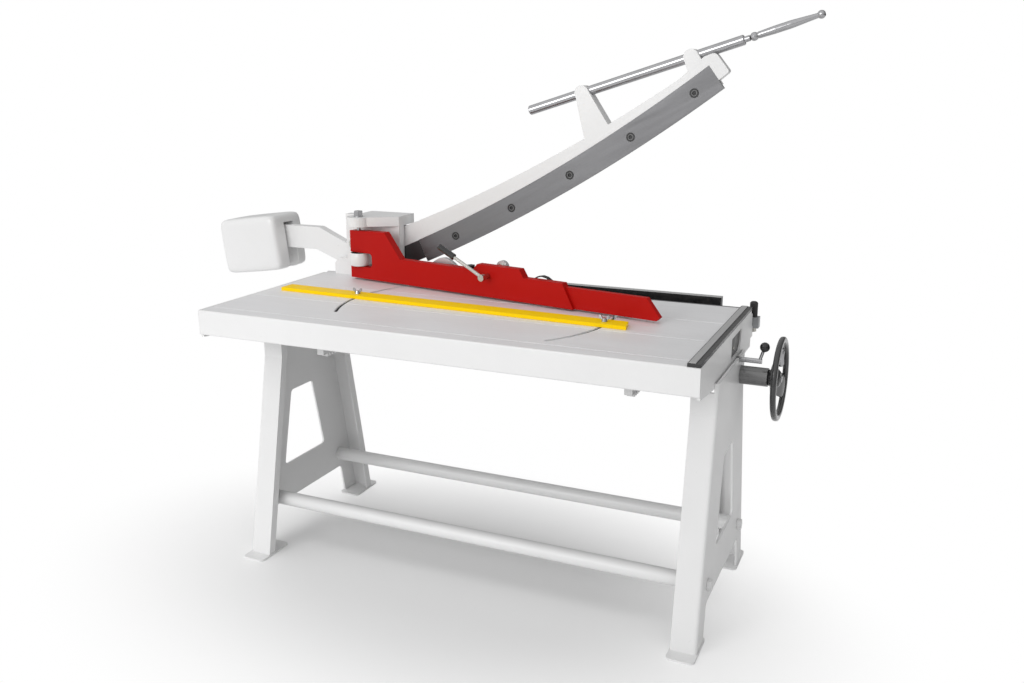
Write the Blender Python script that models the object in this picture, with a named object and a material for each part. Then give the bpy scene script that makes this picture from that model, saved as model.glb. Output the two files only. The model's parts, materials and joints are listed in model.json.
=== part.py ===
"""Hand lever guillotine shear on an A-frame stand.

Metres, +Z up.  X runs to the right along the front edge of the table, Y to the back.
The pieces are placed from the front left corner of the table, over the floor; at the
end the whole machine is centred over the origin.
"""

import math

import bmesh
import bpy
from mathutils import Matrix, Vector

# Shared clearances
SEAT_GAP = 0.0003
BORE_GAP = 0.0004
OVERRUN = 0.010

# Table
TABLE_LENGTH = 1.400
TABLE_DEPTH = 0.6265
TABLE_HEIGHT = 0.729
TOP_THICKNESS = 0.012
APRON_HEIGHT = 0.070
APRON_THICKNESS = 0.008
APRON_EDGE_RADIUS = 0.004
END_PLATE_FRONT_HEIGHT = 0.077
END_PLATE_REAR_HEIGHT = 0.102
END_PLATE_SLOPE_DEPTH = 0.233
END_WINDOW_START = 0.340
END_WINDOW_LENGTH = 0.120
END_WINDOW_HEIGHT = 0.055
END_WINDOW_DROP = 0.018
END_WINDOW_CHAMFER = 0.022
GROOVE_PLACES = (0.050, 0.232, 0.420)
GROOVE_WIDTH = 0.003
GROOVE_DEPTH = 0.001
RIB_THICKNESS = 0.008
RIB_HEIGHT = 0.045
RIB_OFFSET_SHARE = 0.164286
BEARER_WALL = 0.006

# Rear beam and lower blade
BEAM_THICKNESS = 0.0165
BEAM_HEIGHT = 0.066
LOWER_BLADE_THICKNESS = 0.010
LOWER_BLADE_HEIGHT = 0.050
LOWER_BLADE_START = 0.215
LOWER_BLADE_END_MARGIN = 0.006

# Stand frames of bent sheet
STAND_WIDTH = 0.065
STAND_SHEET = 0.006
STAND_BEND_RADIUS = 0.008
STAND_LIP = 0.025
STAND_TOP_DROP = 0.079
STAND_KINK_DROP = 0.080
STAND_KINK_HALF = 0.164
STAND_FOOT_HALF = 0.274
LEFT_STAND_X = 0.095
RIGHT_STAND_OVERHANG = 0.010
WINDOW_TOP_DROP = 0.136
WINDOW_BOTTOM_HEIGHT = 0.210
WINDOW_TOP_HALF = 0.053
WINDOW_BOTTOM_HALF = 0.103
WINDOW_RADIUS = 0.012
NOTCH_HEIGHT = 0.100
LEG_WIDTH = 0.066
NOTCH_RADIUS = 0.016

# Foot plates
FOOT_LENGTH = 0.124
FOOT_WIDTH = 0.070
FOOT_THICKNESS = 0.005
FOOT_OVERHANG = 0.036
FOOT_CORNER_RADIUS = 0.012

# Stretcher tubes
TUBE_RADIUS = 0.020
TUBE_HEIGHT = 0.145
TUBE_HALF_SPREAD = 0.181
TUBE_STUD_RADIUS = 0.009
TUBE_NUT_ACROSS = 0.027
TUBE_NUT_LENGTH = 0.011

# Knife pivot and knife, drawn in the closed position about the pivot
PIVOT_X = 0.133
PIVOT_ABOVE_TABLE = 0.105
KNIFE_OPEN_ANGLE = math.radians(27.9)
BLADE_GAP = 0.0005
KNIFE_THICKNESS = 0.030
HUB_RADIUS = 0.058
EDGE_RADIUS = 4.894
LOW_POINT_X = 0.5186
LOW_POINT_DROP = 0.1661
BLADE_LEFT_LENGTH = 0.3246
BLADE_RIGHT_LENGTH = 0.7354
BLADE_HEIGHT = 0.073
BLADE_THICKNESS = 0.010
EDGE_PROJECTION = 0.014
HEEL_LENGTH = 0.094
HEEL_TOP_LENGTH = 0.031
HEEL_BAND = 0.057
NOSE_BAND = 0.0187
NOSE_RUN_UP = 0.085
NOSE_LENGTH = 0.035
NOSE_HEIGHT = 0.070
NOSE_RADIUS = 0.014
NOSE_BACK_SHARE = 1.25
SCREW_FIRST = 0.129
SCREW_PITCH = 0.2145
SCREW_HEAD_RADIUS = 0.0125
SCREW_HEAD_HEIGHT = 0.004
SCREW_SHANK_RADIUS = 0.006
SCREW_SOCKET_RADIUS = 0.006
SCREW_SOCKET_DEPTH = 0.003

# Counterweight and its arm, in the knife's closed position
ARM_WIDTH = 0.076
ARM_ELBOW_X = -0.150
ARM_ELBOW_Z = 0.082
ARM_ELBOW_TILT = math.radians(-38)
ARM_NECK_X = -0.112
ARM_NECK_Z = -0.018
WEIGHT_X = -0.374
WEIGHT_Z = 0.166
WEIGHT_TILT = math.radians(-20.4)
WEIGHT_LENGTH = 0.236
WEIGHT_HEIGHT = 0.187
WEIGHT_DEPTH = 0.160
WEIGHT_EDGE_RADIUS = 0.026
WEIGHT_SLOT_WIDTH = 0.050
WEIGHT_SLOT_DEPTH = 0.070
WEIGHT_ARM_RISE = 0.024

# Pivot housing
CHEEK_THICKNESS = 0.030
CHEEK_START = 0.100
CHEEK_FOOT_START = 0.051
CHEEK_FOOT_HEIGHT = 0.037
CHEEK_FOOT_CHAMFER = 0.018
SLAB_BOTTOM = 0.170
SLAB_THICKNESS = 0.030
SLAB_END = 0.297
REAR_CHEEK_THICKNESS = 0.020
REAR_CHEEK_GAP = 0.010
REAR_CHEEK_DEPTH = 0.100
REAR_CHEEK_END = 0.262
SPACER_START = 0.060
SPACER_LENGTH = 0.090
SPACER_HEIGHT = 0.045
PIVOT_PIN_RADIUS = 0.015
PIVOT_HEAD_RADIUS = 0.020
PIVOT_HEAD_LENGTH = 0.008
PIVOT_NUT_ACROSS = 0.046
PIVOT_NUT_LENGTH = 0.016

# Hold-down arm: s runs along the arm from its left end, n from its face to the back
HOLD_HINGE_X = 0.175
HOLD_HINGE_INSET = 0.0765
HOLD_ANGLE = math.radians(-10.82)
HOLD_HINGE_S = 0.0275
HOLD_THICKNESS = 0.025
HOLD_FLOOR = 0.006
BLOCK_HEIGHT = 0.156
BLOCK_SHOULDER_S = 0.145
BLOCK_SHOULDER_RISE = 0.004
BLOCK_TOE_S = 0.207
HOLD_LOW_TOP = 0.082
HOLD_RAISED_START = 0.487
HOLD_RAISED_END = 0.649
HOLD_RAISED_TOP = 0.099
HOLD_SLOPE = 0.015
HOLD_END_TOP = 0.791
HOLD_END_TOE = 0.827
HOLD_END_HEIGHT = 0.075
NOTCH_BOTTOM = 0.043
NOTCH_TOP = 0.088
NOTCH_DEPTH = 0.090
CLAMP_BAR_SETBACK = 0.010
CLAMP_BAR_TOP = 0.064
CLAMP_BAR_SHOULDER = 1.043
CLAMP_BAR_TIP = 1.082
HOLD_PIN_RADIUS = 0.006
HOLD_PIN_HEAD_RADIUS = 0.010
HOLD_PIN_HEAD = 0.009
KNUCKLE_RADIUS = 0.028
KNUCKLE_GAP = 0.002
SLAB_NOSE_SHARE = 1.3
SLAB_NOSE_END = math.radians(345.6)

# Clamp lever, its cam roller, presser bar and spring, in the arm's s, n and height
LEVER_S = 0.541
LEVER_HEIGHT = 0.068
LEVER_SHAFT_RADIUS = 0.007
LEVER_STANDOFF = 0.028
LEVER_BOSS_RADIUS = 0.010
LEVER_BOSS_LENGTH = 0.016
LEVER_ROD_RADIUS = 0.005
LEVER_ROD_LENGTH = 0.112
LEVER_ROD_ANGLE = math.radians(154)
LEVER_GRIP_LENGTH = 0.058
LEVER_GRIP_RADIUS = 0.0095
CRANK_THICKNESS = 0.008
CRANK_REACH = 0.034
CRANK_ANGLE = math.radians(43)
CRANK_RADIUS = 0.012
ROLLER_RADIUS = 0.019
ROLLER_WIDTH = 0.012
ROLLER_AXLE_RADIUS = 0.004
PRESSER_START = 0.230
PRESSER_END = 0.990
PRESSER_THICKNESS = 0.012
PRESSER_TOP = 0.042
PRESSER_HUMP_S = 0.352
PRESSER_HUMP_TOP = 0.098
PRESSER_HUMP_HALF = 0.110
PRESSER_FLOOR = 0.008
PRESSER_PAD_PLACES = (0.300, 0.850)
PRESSER_PAD_LENGTH = 0.040
PRESSER_PAD_TOP = 0.036
SPRING_S = 0.709
SPRING_HALF = 0.030
SPRING_RISE = 0.012
SPRING_STRIP = 0.003
SPRING_WIDTH = 0.014
SPRING_BASE_HEIGHT = 0.068
SPRING_SHOULDER_SHARE = 0.75
ARM_NUT_ACROSS = 0.022
ARM_NUT_HEIGHT = 0.009
ARM_NUT_PLACE_SHARE = 0.75

# Mitre fence, turning on two bolts in concentric arc slots
FENCE_CENTRE_INSET = 0.3085
FENCE_LENGTH = 1.100
FENCE_WIDTH = 0.051
FENCE_THICKNESS = 0.010
FENCE_ANGLE = math.radians(-2.65)
FENCE_OFFSET = -0.0185
FENCE_SHIFT = -0.097
FENCE_END_SLANT = 0.012
BOLT_HALF_SPREAD = 0.385
BOLT_RADIUS = 0.004
BOLT_HEAD_RADIUS = 0.010
BOLT_HEAD_HEIGHT = 0.006
SLOT_WIDTH = 0.0105
LEFT_SLOT_AIM = 0.113292
RIGHT_SLOT_AIM = 0.017205
SLOT_REAR = math.radians(31)
WING_NUT_RADIUS = 0.008
WING_NUT_HEIGHT = 0.009
WING_SPAN = 0.030
WING_HEIGHT = 0.016
WING_THICKNESS = 0.003
WING_NUT_TOP_SHARE = 0.8
WING_TIP_SHARE = 0.6

# End rail and buffer
RAIL_WIDTH = 0.031
RAIL_HEIGHT = 0.008
RAIL_END_MARGIN = 0.0165
STRIP_WIDTH = 0.016
STRIP_HEIGHT = 0.0015
STRIP_MARGIN = 0.003
BUFFER_END_MARGIN = 0.002
BUFFER_RADIUS = 0.011
BUFFER_TOP = 0.016
BUFFER_LENGTH = 0.042
BUFFER_BOLT_RADIUS = 0.005
BUFFER_LUG_THICKNESS = 0.030
BUFFER_LUG_LENGTH = 0.034
BUFFER_NUT_ACROSS = 0.017
BUFFER_NUT_LENGTH = 0.012

# Back gauge with its racks, cross shaft and handwheel
GAUGE_START = 0.280
GAUGE_END_MARGIN = 0.100
GAUGE_CLEARANCE = 0.015
GAUGE_THICKNESS = 0.025
GAUGE_HEIGHT = 0.050
GAUGE_TOP = 0.012
RACK_INSET = 0.080
RACK_WIDTH = 0.020
RACK_BODY = 0.020
RACK_FRONT = 0.057
TOOTH_MODULE = 0.004
PINION_TEETH = 12
TOOTH_FILL_SHARE = 0.40
ADDENDUM_SHARE = 0.90
DEDENDUM_SHARE = 1.25
PRESSURE_ANGLE = math.radians(20)
SHAFT_Y = 0.425
SHAFT_DROP = 0.132
SHAFT_RADIUS = 0.008
SHAFT_OVERHANG = 0.040
SHAFT_HOLE_SHARE = 1.25
GUIDE_WALL = 0.008
GUIDE_LENGTH = 0.090
GUIDE_DROP = 0.022
BEARING_RADIUS = 0.024
BEARING_LENGTH = 0.070
WHEEL_RADIUS = 0.109
WHEEL_RIM_WIDTH = 0.026
WHEEL_RIM_DEPTH = 0.018
WHEEL_HUB_RADIUS = 0.022
WHEEL_HUB_LENGTH = 0.036
WHEEL_SPOKES = 3
SPOKE_WIDTH = 0.022
SPOKE_THICKNESS = 0.009

# Lock lever
LOCK_Y = 0.400
LOCK_DROP = 0.084
LOCK_STUD_RADIUS = 0.0045
LOCK_STUD_LENGTH = 0.026
LOCK_SLEEVE_RADIUS = 0.0065
LOCK_SLEEVE_LENGTH = 0.040
LOCK_ROD_RADIUS = 0.004
LOCK_ROD_RISE = 0.032
LOCK_ROD_LEAN = 0.008
LOCK_BALL_RADIUS = 0.0125
LOCK_HOLE_SHARE = 1.5

# Handle bar in the two lugs of the knife, in the knife's closed position
HANDLE_START = 0.537
HANDLE_Z = 0.100
HANDLE_SLOPE = math.radians(10.9)
HANDLE_BAR_LENGTH = 0.643
HANDLE_BAR_RADIUS = 0.0138
HANDLE_NECK_RADIUS = 0.008
HANDLE_COLLAR_RADIUS = 0.0115
HANDLE_NECK_LENGTH = 0.014
GRIP_LENGTH = 0.172
GRIP_START_RADIUS = 0.009
GRIP_MIDDLE_RADIUS = 0.0105
GRIP_END_RADIUS = 0.0065
GRIP_POMMEL_RADIUS = 0.011
GRIP_POMMEL_LENGTH = 0.020
LUG_RADIUS = 0.021
LUG_THICKNESS = 0.042
LEFT_LUG_INSET = 0.366
LEFT_LUG_BASE = 0.084
LEFT_LUG_LEAN = -0.010
RIGHT_LUG_INSET = 0.047
RIGHT_LUG_BASE = 0.050

# Round counts
ROUND = 24
FINE_ROUND = 40
SMALL_ROUND = 16
ARC_STEPS = 6
BLADE_STEPS = 20
SLOT_STEPS = 14
WIRE_SIDES = 10

# Places that follow from the sizes above
TABLE_TOP = TABLE_HEIGHT
RIB_OFFSET = RIB_OFFSET_SHARE * TABLE_LENGTH
STAND_TOP_HEIGHT = TABLE_HEIGHT - STAND_TOP_DROP
STAND_KINK_HEIGHT = STAND_TOP_HEIGHT - STAND_KINK_DROP
WINDOW_TOP_HEIGHT = STAND_KINK_HEIGHT - WINDOW_TOP_DROP
PIVOT_Z = TABLE_HEIGHT + PIVOT_ABOVE_TABLE
KNIFE_FRONT = TABLE_DEPTH + BLADE_GAP
KNIFE_MIDDLE = KNIFE_FRONT + KNIFE_THICKNESS / 2
EDGE_CENTRE = (LOW_POINT_X, EDGE_RADIUS - LOW_POINT_DROP)
STAND_MIDDLE = TABLE_DEPTH / 2
CHEEK_BACK = KNIFE_FRONT - REAR_CHEEK_GAP / 2
CHEEK_FRONT = CHEEK_BACK - CHEEK_THICKNESS
REAR_CHEEK_FRONT = KNIFE_FRONT + KNIFE_THICKNESS + REAR_CHEEK_GAP
REAR_CHEEK_BACK = REAR_CHEEK_FRONT + REAR_CHEEK_THICKNESS
RIGHT_STAND_FACE = TABLE_LENGTH + RIGHT_STAND_OVERHANG
HOLD_HINGE_Y = TABLE_DEPTH - HOLD_HINGE_INSET
FENCE_CENTRE_Y = TABLE_DEPTH - FENCE_CENTRE_INSET
LEFT_SLOT_FRONT = math.atan2(FENCE_CENTRE_Y - LEFT_SLOT_AIM, BOLT_HALF_SPREAD)
RIGHT_SLOT_FRONT = math.atan2(FENCE_CENTRE_Y - RIGHT_SLOT_AIM, BOLT_HALF_SPREAD)
RAIL_LENGTH = TABLE_DEPTH - RAIL_END_MARGIN
BUFFER_X = TABLE_LENGTH - BUFFER_END_MARGIN
GAUGE_END = TABLE_LENGTH - GAUGE_END_MARGIN
RACK_PLACES = (GAUGE_START + RACK_INSET, GAUGE_END - RACK_INSET)
SHAFT_HEIGHT = TABLE_HEIGHT - SHAFT_DROP
LOCK_HEIGHT = TABLE_HEIGHT - LOCK_DROP
PITCH_RADIUS = TOOTH_MODULE * PINION_TEETH / 2
TOOTH_PITCH = math.pi * TOOTH_MODULE
RACK_PITCH_HEIGHT = SHAFT_HEIGHT + PITCH_RADIUS
RACK_ROOT = RACK_PITCH_HEIGHT + DEDENDUM_SHARE * TOOTH_MODULE
RACK_TOP = RACK_ROOT + RACK_BODY
GAUGE_FRONT = KNIFE_FRONT + KNIFE_THICKNESS + GAUGE_CLEARANCE
HOLD_HINGE_N = HOLD_THICKNESS / 2
HANDLE_SETBACK = (LUG_THICKNESS - KNIFE_THICKNESS) / 2
BLADE_END_X = LOW_POINT_X + BLADE_RIGHT_LENGTH
HANDLE_X = BLADE_END_X - HANDLE_START
LEFT_LUG_X = BLADE_END_X - LEFT_LUG_INSET
RIGHT_LUG_X = BLADE_END_X - RIGHT_LUG_INSET

PAINT = ("paint_light_grey", (0.80, 0.80, 0.80), 0.35, 0.0)
RED_PAINT = ("paint_red", (0.50, 0.012, 0.010), 0.35, 0.0)
YELLOW_PAINT = ("paint_yellow", (0.95, 0.60, 0.005), 0.40, 0.0)
GROUND_STEEL = ("ground_steel", (0.55, 0.55, 0.55), 0.40, 0.9)
BLADE_STEEL = ("blade_steel", (0.22, 0.22, 0.23), 0.38, 0.9)
CHROME = ("chrome", (0.75, 0.75, 0.76), 0.12, 1.0)
ZINC = ("zinc_plate", (0.55, 0.55, 0.52), 0.30, 1.0)
BLACK_PLASTIC = ("black_plastic", (0.015, 0.015, 0.016), 0.45, 0.0)
BLACK_STEEL = ("black_steel", (0.03, 0.03, 0.032), 0.40, 0.7)


# Scene helpers

def clear_scene():
    for thing in list(bpy.data.objects):
        bpy.data.objects.remove(thing, do_unlink=True)


def material_for(name, finish):
    """A material of its own for one piece."""
    label, colour, roughness, metallic = finish
    surface = bpy.data.materials.new(f"{name}_{label}")
    surface.use_nodes = True
    shader = surface.node_tree.nodes["Principled BSDF"]
    shader.inputs["Base Color"].default_value = (*colour, 1.0)
    shader.inputs["Roughness"].default_value = roughness
    shader.inputs["Metallic"].default_value = metallic
    return surface


def add_empty(name, location, rotation=(0, 0, 0), parent=None):
    """A joint frame that moving pieces hang from."""
    empty = bpy.data.objects.new(name, None)
    bpy.context.collection.objects.link(empty)
    empty.parent = parent
    empty.location = location
    empty.rotation_euler = rotation
    return empty


def add_object(name, shape, parent=None, smooth=None):
    """Turn a bmesh into an object under the given parent."""
    mesh = bpy.data.meshes.new(name)
    shape.to_mesh(mesh)
    shape.free()
    if smooth is not None:
        mesh.shade_smooth()
        mesh.set_sharp_from_angle(angle=smooth)
    thing = bpy.data.objects.new(name, mesh)
    bpy.context.collection.objects.link(thing)
    thing.parent = parent
    return thing


SMOOTH = math.radians(35)


def piece(name, shape, finish, parent=None, smooth=SMOOTH):
    thing = add_object(name, shape, parent, smooth)
    thing.data.materials.append(material_for(name, finish))
    return thing


def combine(thing, shapes, operation):
    """Add one Boolean per shape; the shapes stay as hidden guides."""
    for number, shape in enumerate(shapes):
        guide = add_object(f"{thing.name}_{operation.lower()}_{number}", shape, thing.parent)
        guide.hide_render = True
        guide.display_type = "WIRE"
        modifier = thing.modifiers.new(guide.name, "BOOLEAN")
        modifier.operation = operation
        modifier.solver = "EXACT"
        modifier.object = guide
    return thing


def cut(thing, *shapes):
    return combine(thing, shapes, "DIFFERENCE")


def fuse(thing, *shapes):
    return combine(thing, shapes, "UNION")


def bevel(thing, width, segments, angle=math.radians(40)):
    modifier = thing.modifiers.new("rounded_edges", "BEVEL")
    modifier.width = width
    modifier.segments = segments
    modifier.limit_method = "ANGLE"
    modifier.angle_limit = angle
    return thing


# Shape helpers

PLACERS = {
    "X": lambda u, v, w: (w, u, v),
    "Y": lambda u, v, w: (u, w, v),
    "Z": lambda u, v, w: (u, v, w),
}


def prism(outline, low, high, axis):
    """A flat outline pushed along an axis: X takes (y, z), Y takes (x, z), Z takes (x, y)."""
    place = PLACERS[axis]
    shape = bmesh.new()
    first = [shape.verts.new(place(u, v, low)) for u, v in outline]
    last = [shape.verts.new(place(u, v, high)) for u, v in outline]
    shape.faces.new(first)
    shape.faces.new(list(reversed(last)))
    count = len(outline)
    for index in range(count):
        following = (index + 1) % count
        shape.faces.new((first[index], last[index], last[following], first[following]))
    bmesh.ops.recalc_face_normals(shape, faces=shape.faces)
    return shape


def rectangle(low_u, high_u, low_v, high_v):
    return [(low_u, low_v), (high_u, low_v), (high_u, high_v), (low_u, high_v)]


def block(low, high):
    """A box between two opposite corners."""
    return prism(rectangle(low[0], high[0], low[1], high[1]), low[2], high[2], "Z")


def turned(profile, centre, axis, segments=ROUND, closed=False):
    """Turn (radius, place along axis) points about an axis through centre (u, v)."""
    place = PLACERS[axis]
    shape = bmesh.new()
    rings = []
    for radius, along in profile:
        if radius == 0:
            rings.append([shape.verts.new(place(centre[0], centre[1], along))])
            continue
        ring = []
        for step in range(segments):
            angle = 2 * math.pi * step / segments
            u = centre[0] + radius * math.cos(angle)
            v = centre[1] + radius * math.sin(angle)
            ring.append(shape.verts.new(place(u, v, along)))
        rings.append(ring)
    pairs = list(zip(rings, rings[1:]))
    if closed:
        pairs.append((rings[-1], rings[0]))
    for one, two in pairs:
        for step in range(segments):
            following = (step + 1) % segments
            corners = [one[step % len(one)], one[following % len(one)],
                       two[following % len(two)], two[step % len(two)]]
            unique = list(dict.fromkeys(corners))
            if len(unique) > 2:
                shape.faces.new(unique)
    if not closed:
        for ring in (rings[0], rings[-1]):
            if len(ring) > 1:
                shape.faces.new(ring)
    bmesh.ops.recalc_face_normals(shape, faces=shape.faces)
    return shape


def rod(radius, low, high, centre, axis, segments=ROUND):
    return turned([(radius, low), (radius, high)], centre, axis, segments)


def arc(centre, radius, start, end, steps=ARC_STEPS):
    """Points along an arc from start to end, both included."""
    points = []
    for step in range(steps + 1):
        angle = start + (end - start) * step / steps
        points.append((centre[0] + radius * math.cos(angle), centre[1] + radius * math.sin(angle)))
    return points


def filleted(points, radius, steps=ARC_STEPS):
    """Round the corners of an outline; radius is one value or one per corner."""
    count = len(points)
    radii = radius if isinstance(radius, (list, tuple)) else [radius] * count
    result = []
    for index, corner in enumerate(points):
        here = Vector(corner)
        if radii[index] == 0:
            result.append(corner)
            continue
        back = (Vector(points[index - 1]) - here).normalized()
        ahead = (Vector(points[(index + 1) % count]) - here).normalized()
        half = back.angle(ahead) / 2
        reach = radii[index] / math.tan(half)
        middle = here + (back + ahead).normalized() * radii[index] / math.sin(half)
        first = here + back * reach - middle
        last = here + ahead * reach - middle
        start = math.atan2(first.y, first.x)
        sweep = math.atan2(last.y, last.x) - start
        if sweep > math.pi:
            sweep -= 2 * math.pi
        if sweep < -math.pi:
            sweep += 2 * math.pi
        result.extend(arc(middle, radii[index], start, start + sweep, steps))
    return result


def hexagon(centre, across):
    """A hexagon with its flats up and down, by its width across the flats."""
    radius = across / math.sqrt(3)
    return [(centre[0] + radius * math.cos(math.pi * k / 3),
             centre[1] + radius * math.sin(math.pi * k / 3)) for k in range(6)]


def spin(point, angle):
    """Turn a flat point about zero, anticlockwise."""
    u, v = point
    return (u * math.cos(angle) - v * math.sin(angle), u * math.sin(angle) + v * math.cos(angle))


def moved(shape, matrix):
    bmesh.ops.transform(shape, matrix=matrix, verts=shape.verts)
    return shape


def wire(points, radius, sides=WIRE_SIDES):
    """A round bar along a path of 3D points, with flat ends."""
    shape = bmesh.new()
    rings = []
    path = [Vector(point) for point in points]
    for index, point in enumerate(path):
        before = path[max(index - 1, 0)]
        after = path[min(index + 1, len(path) - 1)]
        along = (after - before).normalized()
        side = along.orthogonal() if index == 0 else side - along * side.dot(along)
        side.normalize()
        other = along.cross(side)
        ring = []
        for step in range(sides):
            angle = 2 * math.pi * step / sides
            ring.append(shape.verts.new(point + (side * math.cos(angle) + other * math.sin(angle)) * radius))
        rings.append(ring)
    for one, two in zip(rings, rings[1:]):
        for step in range(sides):
            following = (step + 1) % sides
            shape.faces.new((one[step], one[following], two[following], two[step]))
    shape.faces.new(rings[0])
    shape.faces.new(rings[-1])
    bmesh.ops.recalc_face_normals(shape, faces=shape.faces)
    return shape


# Table

def fence_slot(front, rear, side):
    """One arc slot, for the bolt on the left (side -1) or right (side +1)."""
    centre = (TABLE_LENGTH / 2, FENCE_CENTRE_Y)
    radius = math.hypot(BOLT_HALF_SPREAD, FENCE_OFFSET)
    half = SLOT_WIDTH / 2
    if side > 0:
        start, end = -front, rear
    else:
        start, end = math.pi - rear, math.pi + front
    outer = arc(centre, radius + half, start, end, SLOT_STEPS)
    inner = arc(centre, radius - half, end, start, SLOT_STEPS)
    first_end = (centre[0] + radius * math.cos(end), centre[1] + radius * math.sin(end))
    other_end = (centre[0] + radius * math.cos(start), centre[1] + radius * math.sin(start))
    round_end = arc(first_end, half, end, end + math.pi)
    round_start = arc(other_end, half, start + math.pi, start + 2 * math.pi)
    outline = outer + round_end[1:-1] + inner + round_start[1:-1]
    return prism(outline, TABLE_TOP - TOP_THICKNESS - OVERRUN, TABLE_TOP + OVERRUN, "Z")


def build_table_top():
    low = (APRON_THICKNESS + SEAT_GAP, APRON_THICKNESS + SEAT_GAP, TABLE_TOP - TOP_THICKNESS)
    blade_front = TABLE_DEPTH - LOWER_BLADE_THICKNESS
    high = (TABLE_LENGTH - APRON_THICKNESS - SEAT_GAP, blade_front - SEAT_GAP, TABLE_TOP)
    top = piece("table_top", block(low, high), GROUND_STEEL)
    grooves = []
    for place in GROOVE_PLACES:
        start = (-OVERRUN, place - GROOVE_WIDTH / 2, TABLE_TOP - GROOVE_DEPTH)
        end = (TABLE_LENGTH + OVERRUN, place + GROOVE_WIDTH / 2, TABLE_TOP + OVERRUN)
        grooves.append(block(start, end))
    left_slot = fence_slot(LEFT_SLOT_FRONT, SLOT_REAR, -1)
    right_slot = fence_slot(RIGHT_SLOT_FRONT, SLOT_REAR, 1)
    return cut(top, *grooves, left_slot, right_slot)


def build_front_apron():
    section = filleted(rectangle(0, APRON_THICKNESS, TABLE_TOP - APRON_HEIGHT, TABLE_TOP),
                       [APRON_EDGE_RADIUS, 0, 0, APRON_EDGE_RADIUS])
    piece("front_apron", prism(section, 0, TABLE_LENGTH, "X"), PAINT)


def end_plate_outline():
    """Side view of an end plate, deeper at the back than at the front."""
    front = APRON_THICKNESS + SEAT_GAP
    back = TABLE_DEPTH - BEAM_THICKNESS - LOWER_BLADE_THICKNESS - SEAT_GAP
    return [
        (front, TABLE_TOP), (front, TABLE_TOP - END_PLATE_FRONT_HEIGHT),
        (END_PLATE_SLOPE_DEPTH, TABLE_TOP - END_PLATE_REAR_HEIGHT),
        (back, TABLE_TOP - END_PLATE_REAR_HEIGHT), (back, TABLE_TOP),
    ]


def end_window():
    top = TABLE_TOP - END_WINDOW_DROP
    bottom = top - END_WINDOW_HEIGHT
    back = END_WINDOW_START + END_WINDOW_LENGTH
    outline = [(END_WINDOW_START, bottom), (back - END_WINDOW_CHAMFER, bottom),
               (back, bottom + END_WINDOW_CHAMFER), (back, top), (END_WINDOW_START, top)]
    return prism(outline, TABLE_LENGTH - APRON_THICKNESS - OVERRUN, TABLE_LENGTH + OVERRUN, "X")


def build_end_plates():
    piece("left_end_plate", prism(end_plate_outline(), 0, APRON_THICKNESS, "X"), PAINT)
    right = piece("right_end_plate",
                  prism(end_plate_outline(), TABLE_LENGTH - APRON_THICKNESS, TABLE_LENGTH, "X"), PAINT)
    stud_hole = rod(LOCK_STUD_RADIUS + BORE_GAP, TABLE_LENGTH - APRON_THICKNESS - OVERRUN,
                    TABLE_LENGTH + OVERRUN, (LOCK_Y, LOCK_HEIGHT), "X", SMALL_ROUND)
    cut(right, end_window(), stud_hole)


def build_blade_beam():
    """The rear beam under the table top, and the lower blade on its back."""
    top = TABLE_TOP - TOP_THICKNESS - SEAT_GAP
    back = TABLE_DEPTH - LOWER_BLADE_THICKNESS - SEAT_GAP
    section = [
        (back - BEAM_THICKNESS, top), (back, top),
        (back, TABLE_TOP - LOWER_BLADE_HEIGHT - SEAT_GAP),
        (TABLE_DEPTH, TABLE_TOP - LOWER_BLADE_HEIGHT - SEAT_GAP),
        (TABLE_DEPTH, top - BEAM_HEIGHT), (back - BEAM_THICKNESS, top - BEAM_HEIGHT),
    ]
    piece("blade_beam", prism(section, 0, TABLE_LENGTH, "X"), PAINT)
    blade_low = (LOWER_BLADE_START, TABLE_DEPTH - LOWER_BLADE_THICKNESS, TABLE_TOP - LOWER_BLADE_HEIGHT)
    blade_high = (TABLE_LENGTH - LOWER_BLADE_END_MARGIN, TABLE_DEPTH, TABLE_TOP)
    piece("lower_blade", block(blade_low, blade_high), BLADE_STEEL)
    filler_high = (LOWER_BLADE_START - SEAT_GAP, TABLE_DEPTH, TABLE_TOP)
    filler_low = (0, TABLE_DEPTH - LOWER_BLADE_THICKNESS, TABLE_TOP - LOWER_BLADE_HEIGHT)
    piece("heel_packing", block(filler_low, filler_high), GROUND_STEEL)


def build_ribs():
    """Cross ribs that stiffen the table top, clear of the fence slots."""
    top = TABLE_TOP - TOP_THICKNESS - SEAT_GAP
    front = APRON_THICKNESS + SEAT_GAP
    back = TABLE_DEPTH - LOWER_BLADE_THICKNESS - BEAM_THICKNESS - SEAT_GAP - SEAT_GAP
    for name, side in (("left_table_rib", -1), ("right_table_rib", 1)):
        middle = TABLE_LENGTH / 2 + side * RIB_OFFSET
        low = (middle - RIB_THICKNESS / 2, front, top - RIB_HEIGHT)
        piece(name, block(low, (middle + RIB_THICKNESS / 2, back, top)), PAINT)


def build_bearers():
    """Channels between the table top and the frames; the right one also clears the end plate."""
    top = TABLE_TOP - TOP_THICKNESS - SEAT_GAP
    front = STAND_MIDDLE - STAND_KINK_HALF
    back = STAND_MIDDLE + STAND_KINK_HALF
    width = STAND_WIDTH - RIGHT_STAND_OVERHANG - APRON_THICKNESS - SEAT_GAP
    right_high = TABLE_LENGTH - APRON_THICKNESS - SEAT_GAP
    rows = (("left_bearer", LEFT_STAND_X, STAND_TOP_HEIGHT + SEAT_GAP),
            ("right_bearer", right_high - width, TABLE_TOP - END_PLATE_REAR_HEIGHT))
    for name, low, bottom in rows:
        high = low + width
        section = [
            (low, bottom), (low + BEARER_WALL, bottom), (low + BEARER_WALL, top - BEARER_WALL),
            (high - BEARER_WALL, top - BEARER_WALL), (high - BEARER_WALL, bottom), (high, bottom),
            (high, top), (low, top),
        ]
        piece(name, prism(section, front, back, "Y"), PAINT)


# Stand

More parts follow.
